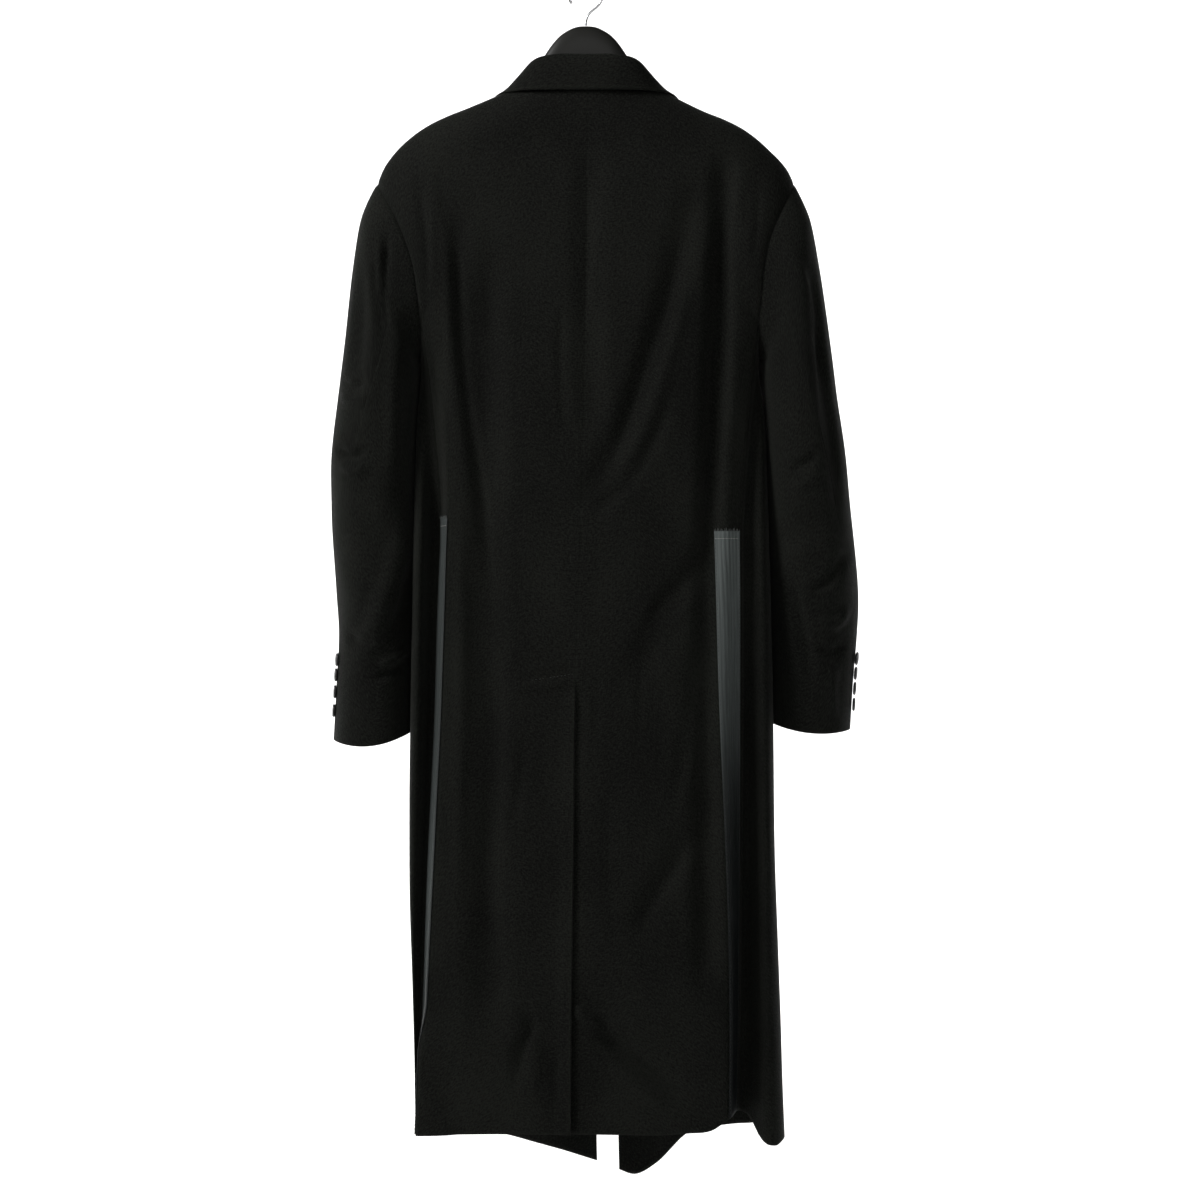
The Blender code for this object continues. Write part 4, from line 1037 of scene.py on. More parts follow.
SLEEVE_BACK_CREASES = (
    ("left cap fold", seen((391, 228), (386, 262), (384, 300), (390, 340)), 7, 2.8, 0.3),
    ("left cap second fold", seen((376, 258), (377, 295), (384, 345)), 6, 2.2, 0.3),
    ("left cap ridge", seen((380, 232), (380, 280), (378, 330)), 7, -1.6, 0.0),
    ("left inner drape", seen((398, 300), (394, 400), (392, 500)), 13, -2.2, 0.0),
    ("left elbow crease", seen((338, 380), (352, 388), (370, 382)), 7, 2.8, 0.2),
    ("left elbow ridge", seen((338, 396), (354, 404), (374, 400)), 8, -2.2, 0.0),
    ("left forearm crease", seen((334, 448), (350, 458), (370, 454)), 7, 3.0, 0.2),
    ("left forearm ridge", seen((336, 464), (354, 474), (372, 468)), 8, -2.2, 0.0),
    ("left lower bend", seen((410, 486), (398, 560), (376, 624), (354, 684)), 20, -4.2, 0.0),
    ("left lower crease", seen((412, 560), (404, 606), (384, 650)), 14, 3.0, 0.0),
    ("left cuff ridge", seen((376, 668), (392, 662), (409, 650)), 7, -3.4, 0.0),
    ("left cuff crease", seen((370, 682), (388, 676), (408, 668)), 7, 2.6, 0.0),
    ("left wrist crease", seen((342, 634), (360, 646), (378, 640)), 9, 2.2, 0.0),
    ("right long ridge", seen((778, 224), (796, 264), (808, 312), (811, 372), (817, 440),
                              (829, 552)), 14, -3.0, 0.6),
    ("right long fold", seen((812, 322), (823, 380), (831, 440), (842, 552)), 10, 2.6, 0.0),
    ("right elbow crease", seen((822, 452), (806, 466), (788, 474)), 9, 2.4, 0.0),
    ("right elbow ridge", seen((824, 470), (806, 486), (788, 492)), 9, -1.8, 0.0),
    ("right forearm crease", seen((850, 548), (830, 584), (806, 596)), 10, 3.0, 0.0),
    ("right wrist fall", seen((790, 576), (804, 630), (816, 704)), 13, 3.6, 0.3),
    ("right wrist ridge", seen((852, 606), (836, 628), (816, 620)), 10, -3.0, 0.0),
    ("right wrist crease", seen((850, 644), (832, 656), (812, 650)), 9, 2.4, 0.0),
    ("right cuff drape", seen((838, 662), (834, 694), (836, 728)), 9, -1.8, 0.0),
)
SLEEVE_FRONT_CREASES = (
    ("left inside elbow", ((-270, 420), (-240, 440), (-206, 436)), 9, 2.6, 0.0),
    ("left inside elbow second", ((-272, 470), (-240, 480), (-208, 470)), 9, 2.2, 0.0),
    ("left inside elbow ridge", ((-270, 446), (-240, 460), (-206, 454)), 8, -2.0, 0.0),
    ("left forearm front", ((-262, 560), (-236, 590), (-210, 600)), 9, 2.0, 0.0),
    ("right inside elbow", ((284, 420), (252, 440), (216, 436)), 9, 2.6, 0.0),
    ("right inside elbow second", ((286, 470), (254, 480), (218, 470)), 9, 2.2, 0.0),
    ("right inside elbow ridge", ((284, 446), (252, 460), (216, 454)), 8, -2.0, 0.0),
    ("right forearm front", ((292, 560), (262, 590), (224, 600)), 9, 2.0, 0.0),
)
print("creases:", len(BACK_CREASES) + len(FRONT_CREASES) + len(SLEEVE_BACK_CREASES)
      + len(SLEEVE_FRONT_CREASES))

# %% [markdown]
# ## Making a piece of cloth
#
# A cut piece starts as a flat grid.  Each point of the grid is laid on its surface, a UV map in
# metres keeps the run of the threads, and a Solidify modifier gives the cloth its thickness on
# both sides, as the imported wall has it.  Near a seam the cloth dips a little, because the
# allowances are pressed open behind it, which draws the seam as a fine line.

# %% Grids on surfaces
SEAM_DIP = 0.7                # how far cloth dips at a seam
SEAM_REACH = 4.5              # and how far from the seam it starts to
EDGE_MARKS = (0.35, 1.6)      # extra columns this far in from a sewn edge
LEAST_APART = 0.3
SEWN = ("first_column", "last_column", "first_row")


def normals(points):
    """Unit normals of a grid of points."""
    across = np.gradient(points, axis=1)
    down = np.gradient(points, axis=0)
    normal = np.cross(across, down)
    return normal / np.maximum(np.linalg.norm(normal, axis=-1, keepdims=True), 1e-9)


def inward(points, middle_x):
    """Normals that point to the inside, by what most of them say about an upright line."""
    normal = normals(points)
    to_middle = np.array([middle_x, 0.0, 0.0]) - points
    to_middle[..., 2] = 0.0
    return normal * np.sign(np.sum(normal * to_middle))


def run_lengths(points, axis):
    """Lengths along a grid's rows or columns, starting at 0."""
    steps = np.linalg.norm(np.diff(points, axis=axis), axis=-1)
    lengths = np.cumsum(steps, axis=axis)
    start = np.zeros_like(np.take(lengths, [0], axis=axis))
    return np.concatenate([start, lengths], axis=axis)


def from_edge(points, edges):
    """Distance along the cloth to the nearest of the named edges, in millimetres."""
    across = run_lengths(points, 1)
    down = run_lengths(points, 0)
    ways = {"first_column": across, "last_column": across[:, -1:] - across,
            "first_row": down, "last_row": down[-1:] - down}
    return np.minimum.reduce([ways[edge] for edge in edges])


def worn(points, *edges, reach=5.0):
    """Wear along free edges, 1 at the edge."""
    return bell(from_edge(points, edges) / reach)


def spaced(width, step, fine_first=True, fine_last=True):
    """Shares from 0 to 1 in even steps, closer together at the ends that are seams."""
    marks = list(np.linspace(0.0, width, max(2, round(width / step)) + 1))
    if fine_first:
        marks += EDGE_MARKS
    if fine_last:
        marks += [width - mark for mark in EDGE_MARKS]
    kept = [0.0]
    for mark in sorted(marks):
        if mark - kept[-1] > LEAST_APART:
            kept.append(mark)
    kept[-1] = width
    return np.array(kept) / width


def grid(across, down):
    return np.meshgrid(np.asarray(across, float), np.asarray(down, float))


# %% From a grid to a piece of cloth
def grid_shape(points):
    """A bmesh grid laid on the points, with a UV map that measures the cloth in metres."""
    rows, columns = points.shape[:2]
    shape = bmesh.new()
    bmesh.ops.create_grid(shape, x_segments=columns - 1, y_segments=rows - 1, size=0.5)
    shape.verts.ensure_lookup_table()
    for index, vertex in enumerate(shape.verts):
        vertex.co = in_metres(points[index // columns, index % columns])
    cut = shape.loops.layers.uv.new("cut")
    u = run_lengths(points, 1) * MM
    v = run_lengths(points, 0) * MM
    for face in shape.faces:
        for loop in face.loops:
            at = divmod(loop.vert.index, columns)
            loop[cut].uv = (u[at], v[at])
    return shape


def add_piece(name, mesh, finish, slot_name, *nodes):
    """Put a mesh in the scene as a piece of the coat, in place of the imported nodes."""
    mesh.name = name
    mesh.materials.clear()
    mesh.materials.append(finish)
    made = in_scene(name, mesh)
    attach(made, "root")
    if nodes:
        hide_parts(*nodes)
    return made


def cloth(name, points, wear, nodes, finish=wool, slot_name="wool", thick=CLOTH, smoothing=0):
    """A piece of cloth on a grid of points: its mesh, thickness, finish, and an attribute that is
    worn edges on the wool and painted shade on the tape.
    """
    shape = grid_shape(points)
    for _ in range(smoothing):
        inner = [vertex for vertex in shape.verts if not vertex.is_boundary]
        bmesh.ops.smooth_vert(shape, verts=inner, factor=0.5, use_axis_x=True, use_axis_y=True,
                              use_axis_z=True)
    mesh = as_mesh(name, shape)
    kept = mesh.attributes.new("wear", "FLOAT", "POINT")
    kept.data.foreach_set("value", wear.astype(np.float32).ravel())
    made = add_piece(name, mesh, finish, slot_name, *nodes)
    wall = made.modifiers.new("wall", "SOLIDIFY")
    wall.thickness = thick * MM
    wall.offset = 0.0
    print(f"{name}: {points.shape[0]} rows of {points.shape[1]} points")
    return made


# %% Sewn edges
LIP = ((0.25, 0.7), (0.3, 2.4), (0.3, 5.0))    # a turned-in edge: how far out, and how far in


def lipped(points, inside, wear, edges):
    """Turn the cloth in at its seams, so that two pieces meet edge to edge without a gap."""
    for edge in edges:
        axis = 1 if edge.endswith("column") else 0
        first = edge.startswith("first")
        points, inside, wear = [np.swapaxes(part, 0, axis) for part in (points, inside, wear)]
        end, before = (0, 1) if first else (-1, -2)
        out = points[end] - points[before]
        out = out / np.maximum(np.linalg.norm(out, axis=-1, keepdims=True), 1e-6)
        lips = [points[end] + out * beyond + inside[end] * depth for beyond, depth in LIP]
        lips = np.array(lips[::-1] if first else lips)
        turned = np.array([inside[end]] * len(LIP))
        plain = np.zeros((len(LIP),) + wear.shape[1:])
        stack = [(lips, points), (turned, inside), (plain, wear)]
        stack = [np.concatenate(pair if first else pair[::-1]) for pair in stack]
        points, inside, wear = [np.swapaxes(part, 0, axis) for part in stack]
    return points, wear


def dipped(points, inside, seams, dip=SEAM_DIP):
    """Press the cloth in along its seams."""
    press = dip * (1.0 - smooth(from_edge(points, seams) / SEAM_REACH))
    return points + inside * press[..., None]


# %% [markdown]
# ## Back panels, vent and side panels
#
# The back is cut in two halves with a seam down the middle.  Below the hips that seam opens
# into a vent: the left half laps over an extension of the right half.  The lap's edge stands a
# little proud and throws a thin shadow, and a short row of stitches slants away from its top.

# %% Rows and columns of the long panels
ROW_STEP = 4.4
COLUMN_STEP = 3.9
FINE_STEP = 3.6               # on the narrower pieces, and in degrees round the armhole
BACK_WIDE = 150.0             # about, from the centre seam to the flank of the tape
FLANK_WIDE = 24.0


def panel_rows(hem):
    """Shares down a panel whose outer edge runs from the shoulder tip to its hem."""
    angles = np.concatenate([[0.0], np.arange(7.0, BACK_SPLIT, FINE_STEP)])
    arm = ARM_MIDDLE - ARM_TALL * np.cos(np.radians(angles))
    skirt = np.linspace(ARM_END, hem, round((hem - ARM_END) / ROW_STEP) + 1)
    return (np.concatenate([arm, skirt]) - TIP_DROP) / (hem - TIP_DROP)


def back_columns():
    """Across a half back: to the tape's edge, and on to the side seam."""
    flank = spaced(FLANK_WIDE, 2.6, fine_first=False)
    return np.concatenate([spaced(BACK_WIDE, COLUMN_STEP, fine_last=False), 1.0 + flank[1:]])


# %% The draped back
CORNER_LINE = seen((420, 1020), (463, 1134))   # the lower left corner turns out past this line
CORNER_SLOPE = 0.3
CORNER_OVER = 8.0             # and lies over the end of the tape


def turned_corner(points, across):
    """Turn the lower left corner of the back out and over the end of the tape."""
    (x_high, drop_high), (x_low, drop_low) = CORNER_LINE
    begins = x_high + (points[..., 2] - drop_high) * (x_low - x_high) / (drop_low - drop_high)
    reach = np.maximum(begins - points[..., 0], 0.0)
    out = CORNER_SLOPE * reach * smooth(reach / 16.0) * smooth((1.9 - across) / 0.9)
    over = smooth((points[..., 2] - drop_high + 20.0) / 60.0)
    over = over * smooth((across - 0.82) / 0.18) * np.clip(2.0 - across, 0.0, 1.0)
    points[..., 1] = points[..., 1] - out
    points[..., 0] = points[..., 0] - CORNER_OVER * over
    return points


def creased(points, inside, table, shift, settled):
    """Draw a table of creases and the cloth's unevenness where the panel has left its edges."""
    x = points[..., 0]
    drop = points[..., 2]
    depth = crease_field(table, x, drop) + wander(x, drop, shift)
    return points + inside * (depth * settled)[..., None]


def back_points(side, across, down):
    """Points of the back with its creases, and the directions to its inside."""
    points = back_surface(side, across, down)
    if side < 0:
        points = turned_corner(points, across)
    inside = inward(points, 0.0)
    below = points[..., 2] - points[:1, :, 2]
    settled = smooth(below / 70.0) * smooth((1.98 - across) / 0.5)
    return creased(points, inside, BACK_CREASES, 0.4, settled), inside


# %% The vent and the finished back
LAP_LIFT = 1.8                # how far the lapping edge of the vent stands proud
LAP_SINK = 1.6                # and the other half lies back
LAP_GROW = 1.6                # more of both towards the hem
LAP_OVER = 1.6                # how far the lapping edge goes past the centre
LAP_REACH = 16.0
CENTRE_DIP = 0.12
CENTRE_REACH = 3.0
CENTRE_FADE = 30.0            # the centre seam's dip ends this far above the vent


def vent_step(side, points, inside):
    """Raise the lapping half beside the vent and sink the other."""
    x = points[..., 0]
    drop = points[..., 2]
    from_centre = x - follow(CENTRE, drop)
    opened = smooth((drop - VENT_DROP + 4.0) / 40.0) * bell(from_centre / LAP_REACH)
    opened = opened * (1.0 + LAP_GROW * np.clip((drop - VENT_DROP) / 500.0, 0.0, 1.0))
    lift = -LAP_LIFT if side < 0 else LAP_SINK
    points = points + inside * (lift * opened)[..., None]
    if side < 0:
        points[..., 0] = points[..., 0] + LAP_OVER * opened * bell(2.0 * from_centre / LAP_REACH)
    return points


def draped_back(side):
    points, inside = back_points(side, *grid(back_columns(), panel_rows(SIDE_HEM[side][0][1])))
    return vent_step(side, points, inside), inside


def make_back(side):
    points, inside = draped[side]
    points = dipped(points, inside, ("last_column", "first_row"))
    middle = from_edge(points, ("first_column",))
    closed = 1.0 - smooth((points[..., 2] - VENT_DROP + CENTRE_FADE) / CENTRE_FADE)
    dip = CENTRE_DIP * (1.0 - smooth(middle / CENTRE_REACH)) * closed
    points = points + inside * dip[..., None]
    wear = np.maximum(worn(points, "last_row"), bell(middle / 4.0) * (1.0 - closed))
    return cloth("back_panel_" + side_name(side), *lipped(points, inside, wear, SEWN),
                 ["back_" + side_name(side)])


draped = {side: draped_back(side) for side in SIDES}
backs = {side: make_back(side) for side in SIDES}


# %% Vent underlap
NAPE_DROP = 34.0              # top of the centre seam
UNDERLAP_WIDE = 0.36          # share of the half back
UNDERLAP_SINK = 1.9           # how far it lies inside the left half
UNDERLAP_DEEPER = 0.7         # and further below the vent's top


def make_underlap():
    """The right half's extension, which lies inside the left half below the vent's top."""
    rows = panel_rows(SIDE_HEM[-1][0][1])
    rows = rows[rows > (VENT_DROP - NAPE_DROP) / (BACK_HEM[2][1] - NAPE_DROP)]
    points, inside = back_points(-1, *grid(np.linspace(0.0, UNDERLAP_WIDE, 15), rows))
    sink = UNDERLAP_SINK + UNDERLAP_DEEPER * smooth((points[..., 2] - VENT_DROP) / 60.0)
    points = points + inside * sink[..., None]
    return cloth("vent_extension", points, worn(points, "first_column", "last_row"),
                 ["vent_underlap"], thick=1.0)


underlap = make_underlap()


# %% Side panels
SIDE_RIDGE = {-1: (181.0, 10.0, 6.0), 1: (196.0, 12.0, 2.5)}    # out, half width and height
SIDE_WIDE = 96.0              # about, round the side


def make_side(side):
    rows = spaced(SIDE_HEM[side][0][1] - ARM_END, ROW_STEP, fine_last=False)
    points = side_surface(side, *grid(spaced(SIDE_WIDE, FINE_STEP), rows))
    inside = inward(points, side * 120.0)
    inner = smooth(from_edge(points, SEWN) / 20.0)
    uneven = wander(points[..., 1] * 1.3 + 40.0 * side, points[..., 2], 1.9)
    points = points + inside * (uneven * inner)[..., None]
    out, half, high = SIDE_RIDGE[side]
    ridge = high * bell((side * points[..., 0] - out) / half) * (points[..., 1] < 0)
    ridge = ridge * smooth((points[..., 2] - 420.0) / 160.0)
    points[..., 1] = points[..., 1] - ridge * inner
    points = dipped(points, inside, SEWN, dip=0.5)
    return cloth("side_panel_" + side_name(side),
                 *lipped(points, inside, worn(points, "last_row"), SEWN),
                 ["side_" + side_name(side)])


sides = {side: make_side(side) for side in SIDES}

# %% [markdown]
# ## Fronts and lapels
#
# The fronts hang open with a narrow gap between them and are hidden in the photograph.  They
# are finished as such a coat is: a lapel that rolls from the break to the collar, a plain edge,
# three buttons on the wearer's right and three worked buttonholes on the left.


# %% Front panels
FRONT_WIDE = 186.0            # about, from the side-front seam to the edge


def make_front(side):
    across, down = grid(spaced(FRONT_WIDE, COLUMN_STEP), panel_rows(SIDE_HEM[side][-1][1]))
    points = front_surface(side, across, down)
    inside = inward(points, 0.0)
    below = points[..., 2] - points[:1, :, 2]
    settled = smooth(below / 80.0) * smooth(across / 0.12)
    points = creased(points, inside, FRONT_CREASES, 2.7, settled)
    points = dipped(points, inside, ("first_column", "first_row"))
    wear = worn(points, "last_row", "last_column")
    return cloth("front_panel_" + side_name(side),
                 *lipped(points, inside, wear, ("first_column", "first_row")),
                 ["front_" + side_name(side)])


fronts = {side: make_front(side) for side in SIDES}


# %% Lapels
LAPEL_WIDE = 90.0
LAPEL_LONG = 380.0


def make_lapel(side):
    across, up = grid(spaced(LAPEL_WIDE, FINE_STEP), spaced(LAPEL_LONG, 4.0))
    points = lapel_surface(side, up, across)
    return cloth("lapel_roll_" + side_name(side), points,
                 worn(points, "last_column", "first_row", "last_row"),
                 ["lapel_" + side_name(side)], thick=1.8)


lapels = {side: make_lapel(side) for side in SIDES}

# %% [markdown]
# ## Collar
#
# The collar stands up from the neck seam, folds over at its top and falls to just past that
# seam, so seen from behind it is a low band with a dark line under its edge.


# %% Collar
COLLAR_ROWS = ((0.0, 0.36, 10), (0.39, 0.56, 8), (0.6, 1.0, 12))    # from, to, how many


def make_collar():
    over = np.concatenate([np.linspace(*stretch) for stretch in COLLAR_ROWS])
    points = collar_surface(*grid(np.linspace(-1.0, 1.0, 131), over))
    wear = worn(points, "last_row", "first_column", "last_column", reach=4.0)
    return cloth("collar_fall", points, wear, ["collar"], thick=1.9, smoothing=2)


collar = make_collar()

# %% [markdown]
# ## Sleeves
#
# A two-piece sleeve is a bent tube: a wide top piece and a narrow under piece, joined by a hind
# seam and a fore seam.  The creases at the elbow and above the cuff run round the arm.

# %% Sleeve columns
UNDER_SHARES = (0.06, 0.14, 0.26, 0.4, 0.55, 0.7, 0.85)
ARM_ANGLES = (0, 9, 18, 28, 42, 60, 80, 105, BACK_SPLIT)
TOP_ANGLES = np.array([*ARM_ANGLES, *(mix(BACK_SPLIT, FRONT_SPLIT, s) for s in UNDER_SHARES),
                       *(360.0 - angle for angle in reversed(ARM_ANGLES))])
EVEN_ANGLES = np.linspace(0.0, 360.0, len(TOP_ANGLES))
SLEEVE_DEEPER = 1.5           # the wool gathers more on the sleeves than on the back
CUFF_RISE = {-1: 10.0, 1: 7.0}    # the cuff's hem is higher at its two sides than in the middle
CUFF_STARTS = 0.86


def armhole_angle(even):
    """Angle at the armhole of a column that lies at an even angle further down."""
    turns = np.floor(even / 360.0)
    return np.interp(even - 360.0 * turns, EVEN_ANGLES, TOP_ANGLES) + 360.0 * turns


def sleeve_points(side, even, along):
    """Points of a sleeve with its creases, and the directions to its inside."""
    points = sleeve_surface(side, armhole_angle(even), even, along)
    outer, inner, centre = (sleeve_size(side, name, along) for name in ("outer", "inner", "middle"))
    middle = 0.5 * (outer + inner)
    axis = np.stack([side * middle, centre, points[..., 2]], axis=-1)
    normal = normals(points)
    inside = normal * np.sign(np.sum(normal * (axis - points)))
    behind = smooth(0.5 + 1.4 * inside[..., 1])
    x = points[..., 0]
    drop = points[..., 2]
    depth = (crease_field(SLEEVE_BACK_CREASES, x, drop) * behind
             + crease_field(SLEEVE_FRONT_CREASES, x, drop) * (1.0 - behind))
    depth = SLEEVE_DEEPER * depth + wander(even * 1.1 + 30.0 * side, drop, 3.3)
    points = points + inside * (depth * smooth(along / 0.08))[..., None]
    aside = np.clip((side * x - middle) / (0.5 * (outer - inner)), -1.0, 1.0)
    rise = CUFF_RISE[side] * aside**2 * smooth((along - CUFF_STARTS) / (1.0 - CUFF_STARTS))
    points[..., 2] = points[..., 2] - rise
    return points, inside


# %% Sleeve pieces
STEP_ROUND = 360.0 / SLEEVE_PARTS
SLEEVE_ROWS = np.concatenate([[0.0], np.arange(0.024, 1.0, 0.0066), [1.0]])
DEGREE_WIDE = 1.12            # millimetres round the sleeve, about
SLEEVE_DIP = 0.1              # at the long seams
ARMHOLE_DIP = 0.8


def make_sleeve(side, piece, first, last):
    start = first * STEP_ROUND
    end = last * STEP_ROUND
    even = mix(start, end, spaced((end - start) * DEGREE_WIDE, 3.7))
    points, inside = sleeve_points(side, *grid(even, SLEEVE_ROWS))
    points = dipped(points, inside, ("first_column", "last_column"), dip=SLEEVE_DIP)
    points = dipped(points, inside, ("first_row",), dip=ARMHOLE_DIP)
    name = "sleeve_" + side_name(side) + "_" + piece
    lengths = [node for node in (name, name + "_lower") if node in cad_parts]
    return cloth(name + "_cloth", *lipped(points, inside, worn(points, "last_row"), SEWN), lengths)


for arm in SIDES:
    make_sleeve(arm, "under", HIND_SEAM, FORE_SEAM)
    make_sleeve(arm, "top", FORE_SEAM, SLEEVE_PARTS + HIND_SEAM)

# %% [markdown]
# ## Ribbed tapes
#
# A ribbed grey tape lies along each side-back seam from the waist to the hem.  Its top end is
# cut raw and frays, and a pale row of stitches crosses it just below.  The ribs are real
# ridges, so they catch the light in every view.

# %% Tapes
RIB_PITCH = 4.1
RIB_HIGH = 0.55
TAPE_OFF = CLOTH / 2 + 0.9
TAPE_REACH = 0.95             # share of the flank that the tape covers
TAPE_SHORT = 1.6              # how far above the hem it ends
TAPE_ROW = 4.0                # height of a row of its grid
# Painted shade: the tape is painted darker down its length where it lies in the deep fold's shadow.
TAPE_LIT_SHARE = {                 # share of its pale tone that the tape keeps down its length
    -1: ((500, 0.5), (650, 0.45), (800, 0.5), (960, 0.62), (1040, 0.3), (1100, 0.1)),
    1: ((500, 1.0), (640, 0.85), (720, 0.66), (800, 0.26), (950, 0.08), (1180, 0.02)),
}


def tape_points(side):
    """Points of the ribbed tape on the back's flank, and the directions to its inside."""
    hem = SIDE_HEM[side][0][1]
    columns = 1.0 + np.linspace(0.0, TAPE_REACH, 45)
    shares = panel_rows(hem)
    drops = back_surface(side, *grid(columns, shares))[..., 2]
    first = np.array([np.interp(TAPE_TOP[side], drops[:, c], shares) for c in range(len(columns))])
    last = 1.0 - TAPE_SHORT / (hem - TIP_DROP)
    across, down = grid(columns, np.linspace(0.0, 1.0, round((hem - TAPE_TOP[side]) / TAPE_ROW)))
    points, inside = back_points(side, across, mix(first, last, down))
    ribs = RIB_HIGH * np.abs(np.sin(np.pi * run_lengths(points, 1) / RIB_PITCH))
    return points - inside * (TAPE_OFF + ribs)[..., None], inside


def make_tape(side):
    points = tape_grids[side][0]
    # The attribute carries the painted shade down the tape's length.
    return cloth("ribbed_tape_" + side_name(side), points,
                 follow(TAPE_LIT_SHARE[side], points[..., 2]), ["tape_" + side_name(side)],
                 finish=ribbon, slot_name="tape", thick=0.8)


tape_grids = {side: tape_points(side) for side in SIDES}
tapes = {side: make_tape(side) for side in SIDES}


# %% Stitches
def between(start, end):
    """A matrix that stands a shape on end halfway between two points."""
    turn = (end - start).to_track_quat("Z", "Y").to_matrix().to_4x4()
    return Matrix.Translation((start + end) / 2) @ turn


def sew(name, path, finish, slot_name, stitch=2.6, gap=1.5, thick=0.5):
    """A row of stitches along a path of points in millimetres."""
    path = np.asarray(path, float)
    lengths = run_lengths(path[None], 1)[0]

    def reached(at):
        return in_metres([np.interp(at, lengths, path[:, axis]) for axis in range(3)])

    shape = bmesh.new()
    at = gap / 2
    while at + stitch < lengths[-1]:
        start = reached(at)
        end = reached(at + stitch)
        size = Matrix.Diagonal((thick / 2 * MM, thick / 2 * MM, (end - start).length / 2, 1.0))
        bmesh.ops.create_uvsphere(shape, u_segments=6, v_segments=4, radius=1.0,
                                  matrix=between(start, end) @ size)
        at = at + stitch + gap
    return add_piece(name, as_mesh(name, shape), finish, slot_name)


THREAD_LIFT = 0.6
TOP_ROW_BELOW = 7.5           # the raw end of the tape
EDGE_COLUMNS = (("inner", 2), ("outer", -3))


def tape_sewing(side):
    """Pale stitches across the top of a tape, and dark ones down both its edges."""
    points, inside = tape_grids[side]
    lifted = points - inside * THREAD_LIFT
    row = int(np.searchsorted(run_lengths(points, 0)[:, 0], TOP_ROW_BELOW))
    made = [sew("tape_top_stitches_" + side_name(side), lifted[row, 1:-1], pale_thread, "tape",
                stitch=2.2, gap=0.9, thick=0.7)]
    for end, index in EDGE_COLUMNS:
        made.append(sew("tape_edge_stitches_" + side_name(side) + "_" + end, lifted[2:-1, index],
                        black_thread, "tape", stitch=2.4, gap=1.8, thick=0.45))
    return made


FRAY_SHORTEST = 1.6
FRAY_UNEVEN = 1.5             # how much longer others are
FRAY_STRAY = 2.0              # and how much longer still every seventh is
FRAY_LEAN = 0.9
FRAY_RADII = (0.28, 0.12)     # at the tape and at the tip


def fray(side):
    """Loose thread ends at the raw top of a tape, uneven in length and lean."""
    shape = bmesh.new()
    top = tape_grids[side][0][0]
    for index in range(1, len(top) - 1, 2):
        long = FRAY_SHORTEST + FRAY_UNEVEN * abs(math.sin(2.7 * index))
        if index % 7 == 0:
            long = long + FRAY_STRAY
        lean = FRAY_LEAN * math.sin(4.1 * index)
        start = in_metres(top[index] + np.array([0.0, 0.0, 0.6]))
        end = in_metres(top[index] + np.array([lean, -0.4, -long]))
        bmesh.ops.create_cone(shape, cap_ends=True, cap_tris=True, segments=5,
                              radius1=FRAY_RADII[0] * MM, radius2=FRAY_RADII[1] * MM,
                              depth=(end - start).length, matrix=between(start, end))
    name = "tape_fray_" + side_name(side)
    return add_piece(name, as_mesh(name, shape, smooth_faces=False), ribbon_end, "tape")


tape_threads = {side: tape_sewing(side) for side in SIDES}
frays = {side: fray(side) for side in SIDES}
print("tape threads:", sum(len(rows) for rows in tape_threads.values()))

# %% [markdown]
# ## Stitches at the vent
#
# A short slanting row of stitches holds the vent's inner layers.  The cloth dips along it and
# swells just below.


# %% Vent stitches
VENT_ROW = seen((531, 683), (575.5, 676.5))    # both ends of the row
NEAREST = 4                   # points of the cloth that a place on it is worked out from


def on_back(side, x, drop, lift):
    """Point of the finished back at a place, lifted off the cloth."""
    points, inside = draped[side]
    flat = points.reshape(-1, 3)
    apart = (flat[:, 0] - x) ** 2 + (flat[:, 2] - drop) ** 2
    near = np.argsort(apart)[:NEAREST]
    weight = 1.0 / (apart[near] + 0.01)
    weight = weight / weight.sum()
    y = float(np.sum(weight * flat[near, 1]))
    return (x, y, drop) - np.average(inside.reshape(-1, 3)[near], axis=0, weights=weight) * lift


row_start, row_end = np.array(VENT_ROW)
row_places = [mix(row_start, row_end, share) for share in np.linspace(0.0, 1.0, 18)]
vent_path = [on_back(-1, x, drop, CLOTH / 2 + 0.05) for x, drop in row_places]
vent_stitches = sew("vent_stitches", vent_path, black_thread, "wool", gap=1.4, thick=0.4)
print("vent stitches:", len(vent_stitches.data.polygons))

# %% [markdown]
# ## Buttons
#
# A button is turned from a profile: a rim round a dished face, with four holes and a cross of
# thread.  Four small ones sit edge to edge above each cuff and three larger ones on the front.

# %% One turned button
BUTTON_CUFF = 15.0
BUTTON_FRONT = 21.0
BUTTON_THICK = 0.2            # these four are shares of the button's width
HOLE_OUT = 0.135
HOLE_WIDE = 0.05
THREAD_SIZE = (0.16, 0.035, 0.03)
BUTTON_PROFILE = (            # share of the radius, share of the thickness
    (0.0, 0.66), (0.5, 0.66), (0.64, 0.72), (0.72, 0.9), (0.8, 0.99), (0.9, 0.97), (0.98, 0.76),
    (1.0, 0.5), (0.94, 0.14), (0.8, 0.0), (0.0, 0.0),
)


def evaluated_mesh(made):
    """The mesh of an object with its modifiers or its bevel, once the scene is up to date."""
    bpy.context.view_layer.update()
    return bpy.data.meshes.new_from_object(
        made.evaluated_get(bpy.context.evaluated_depsgraph_get()))


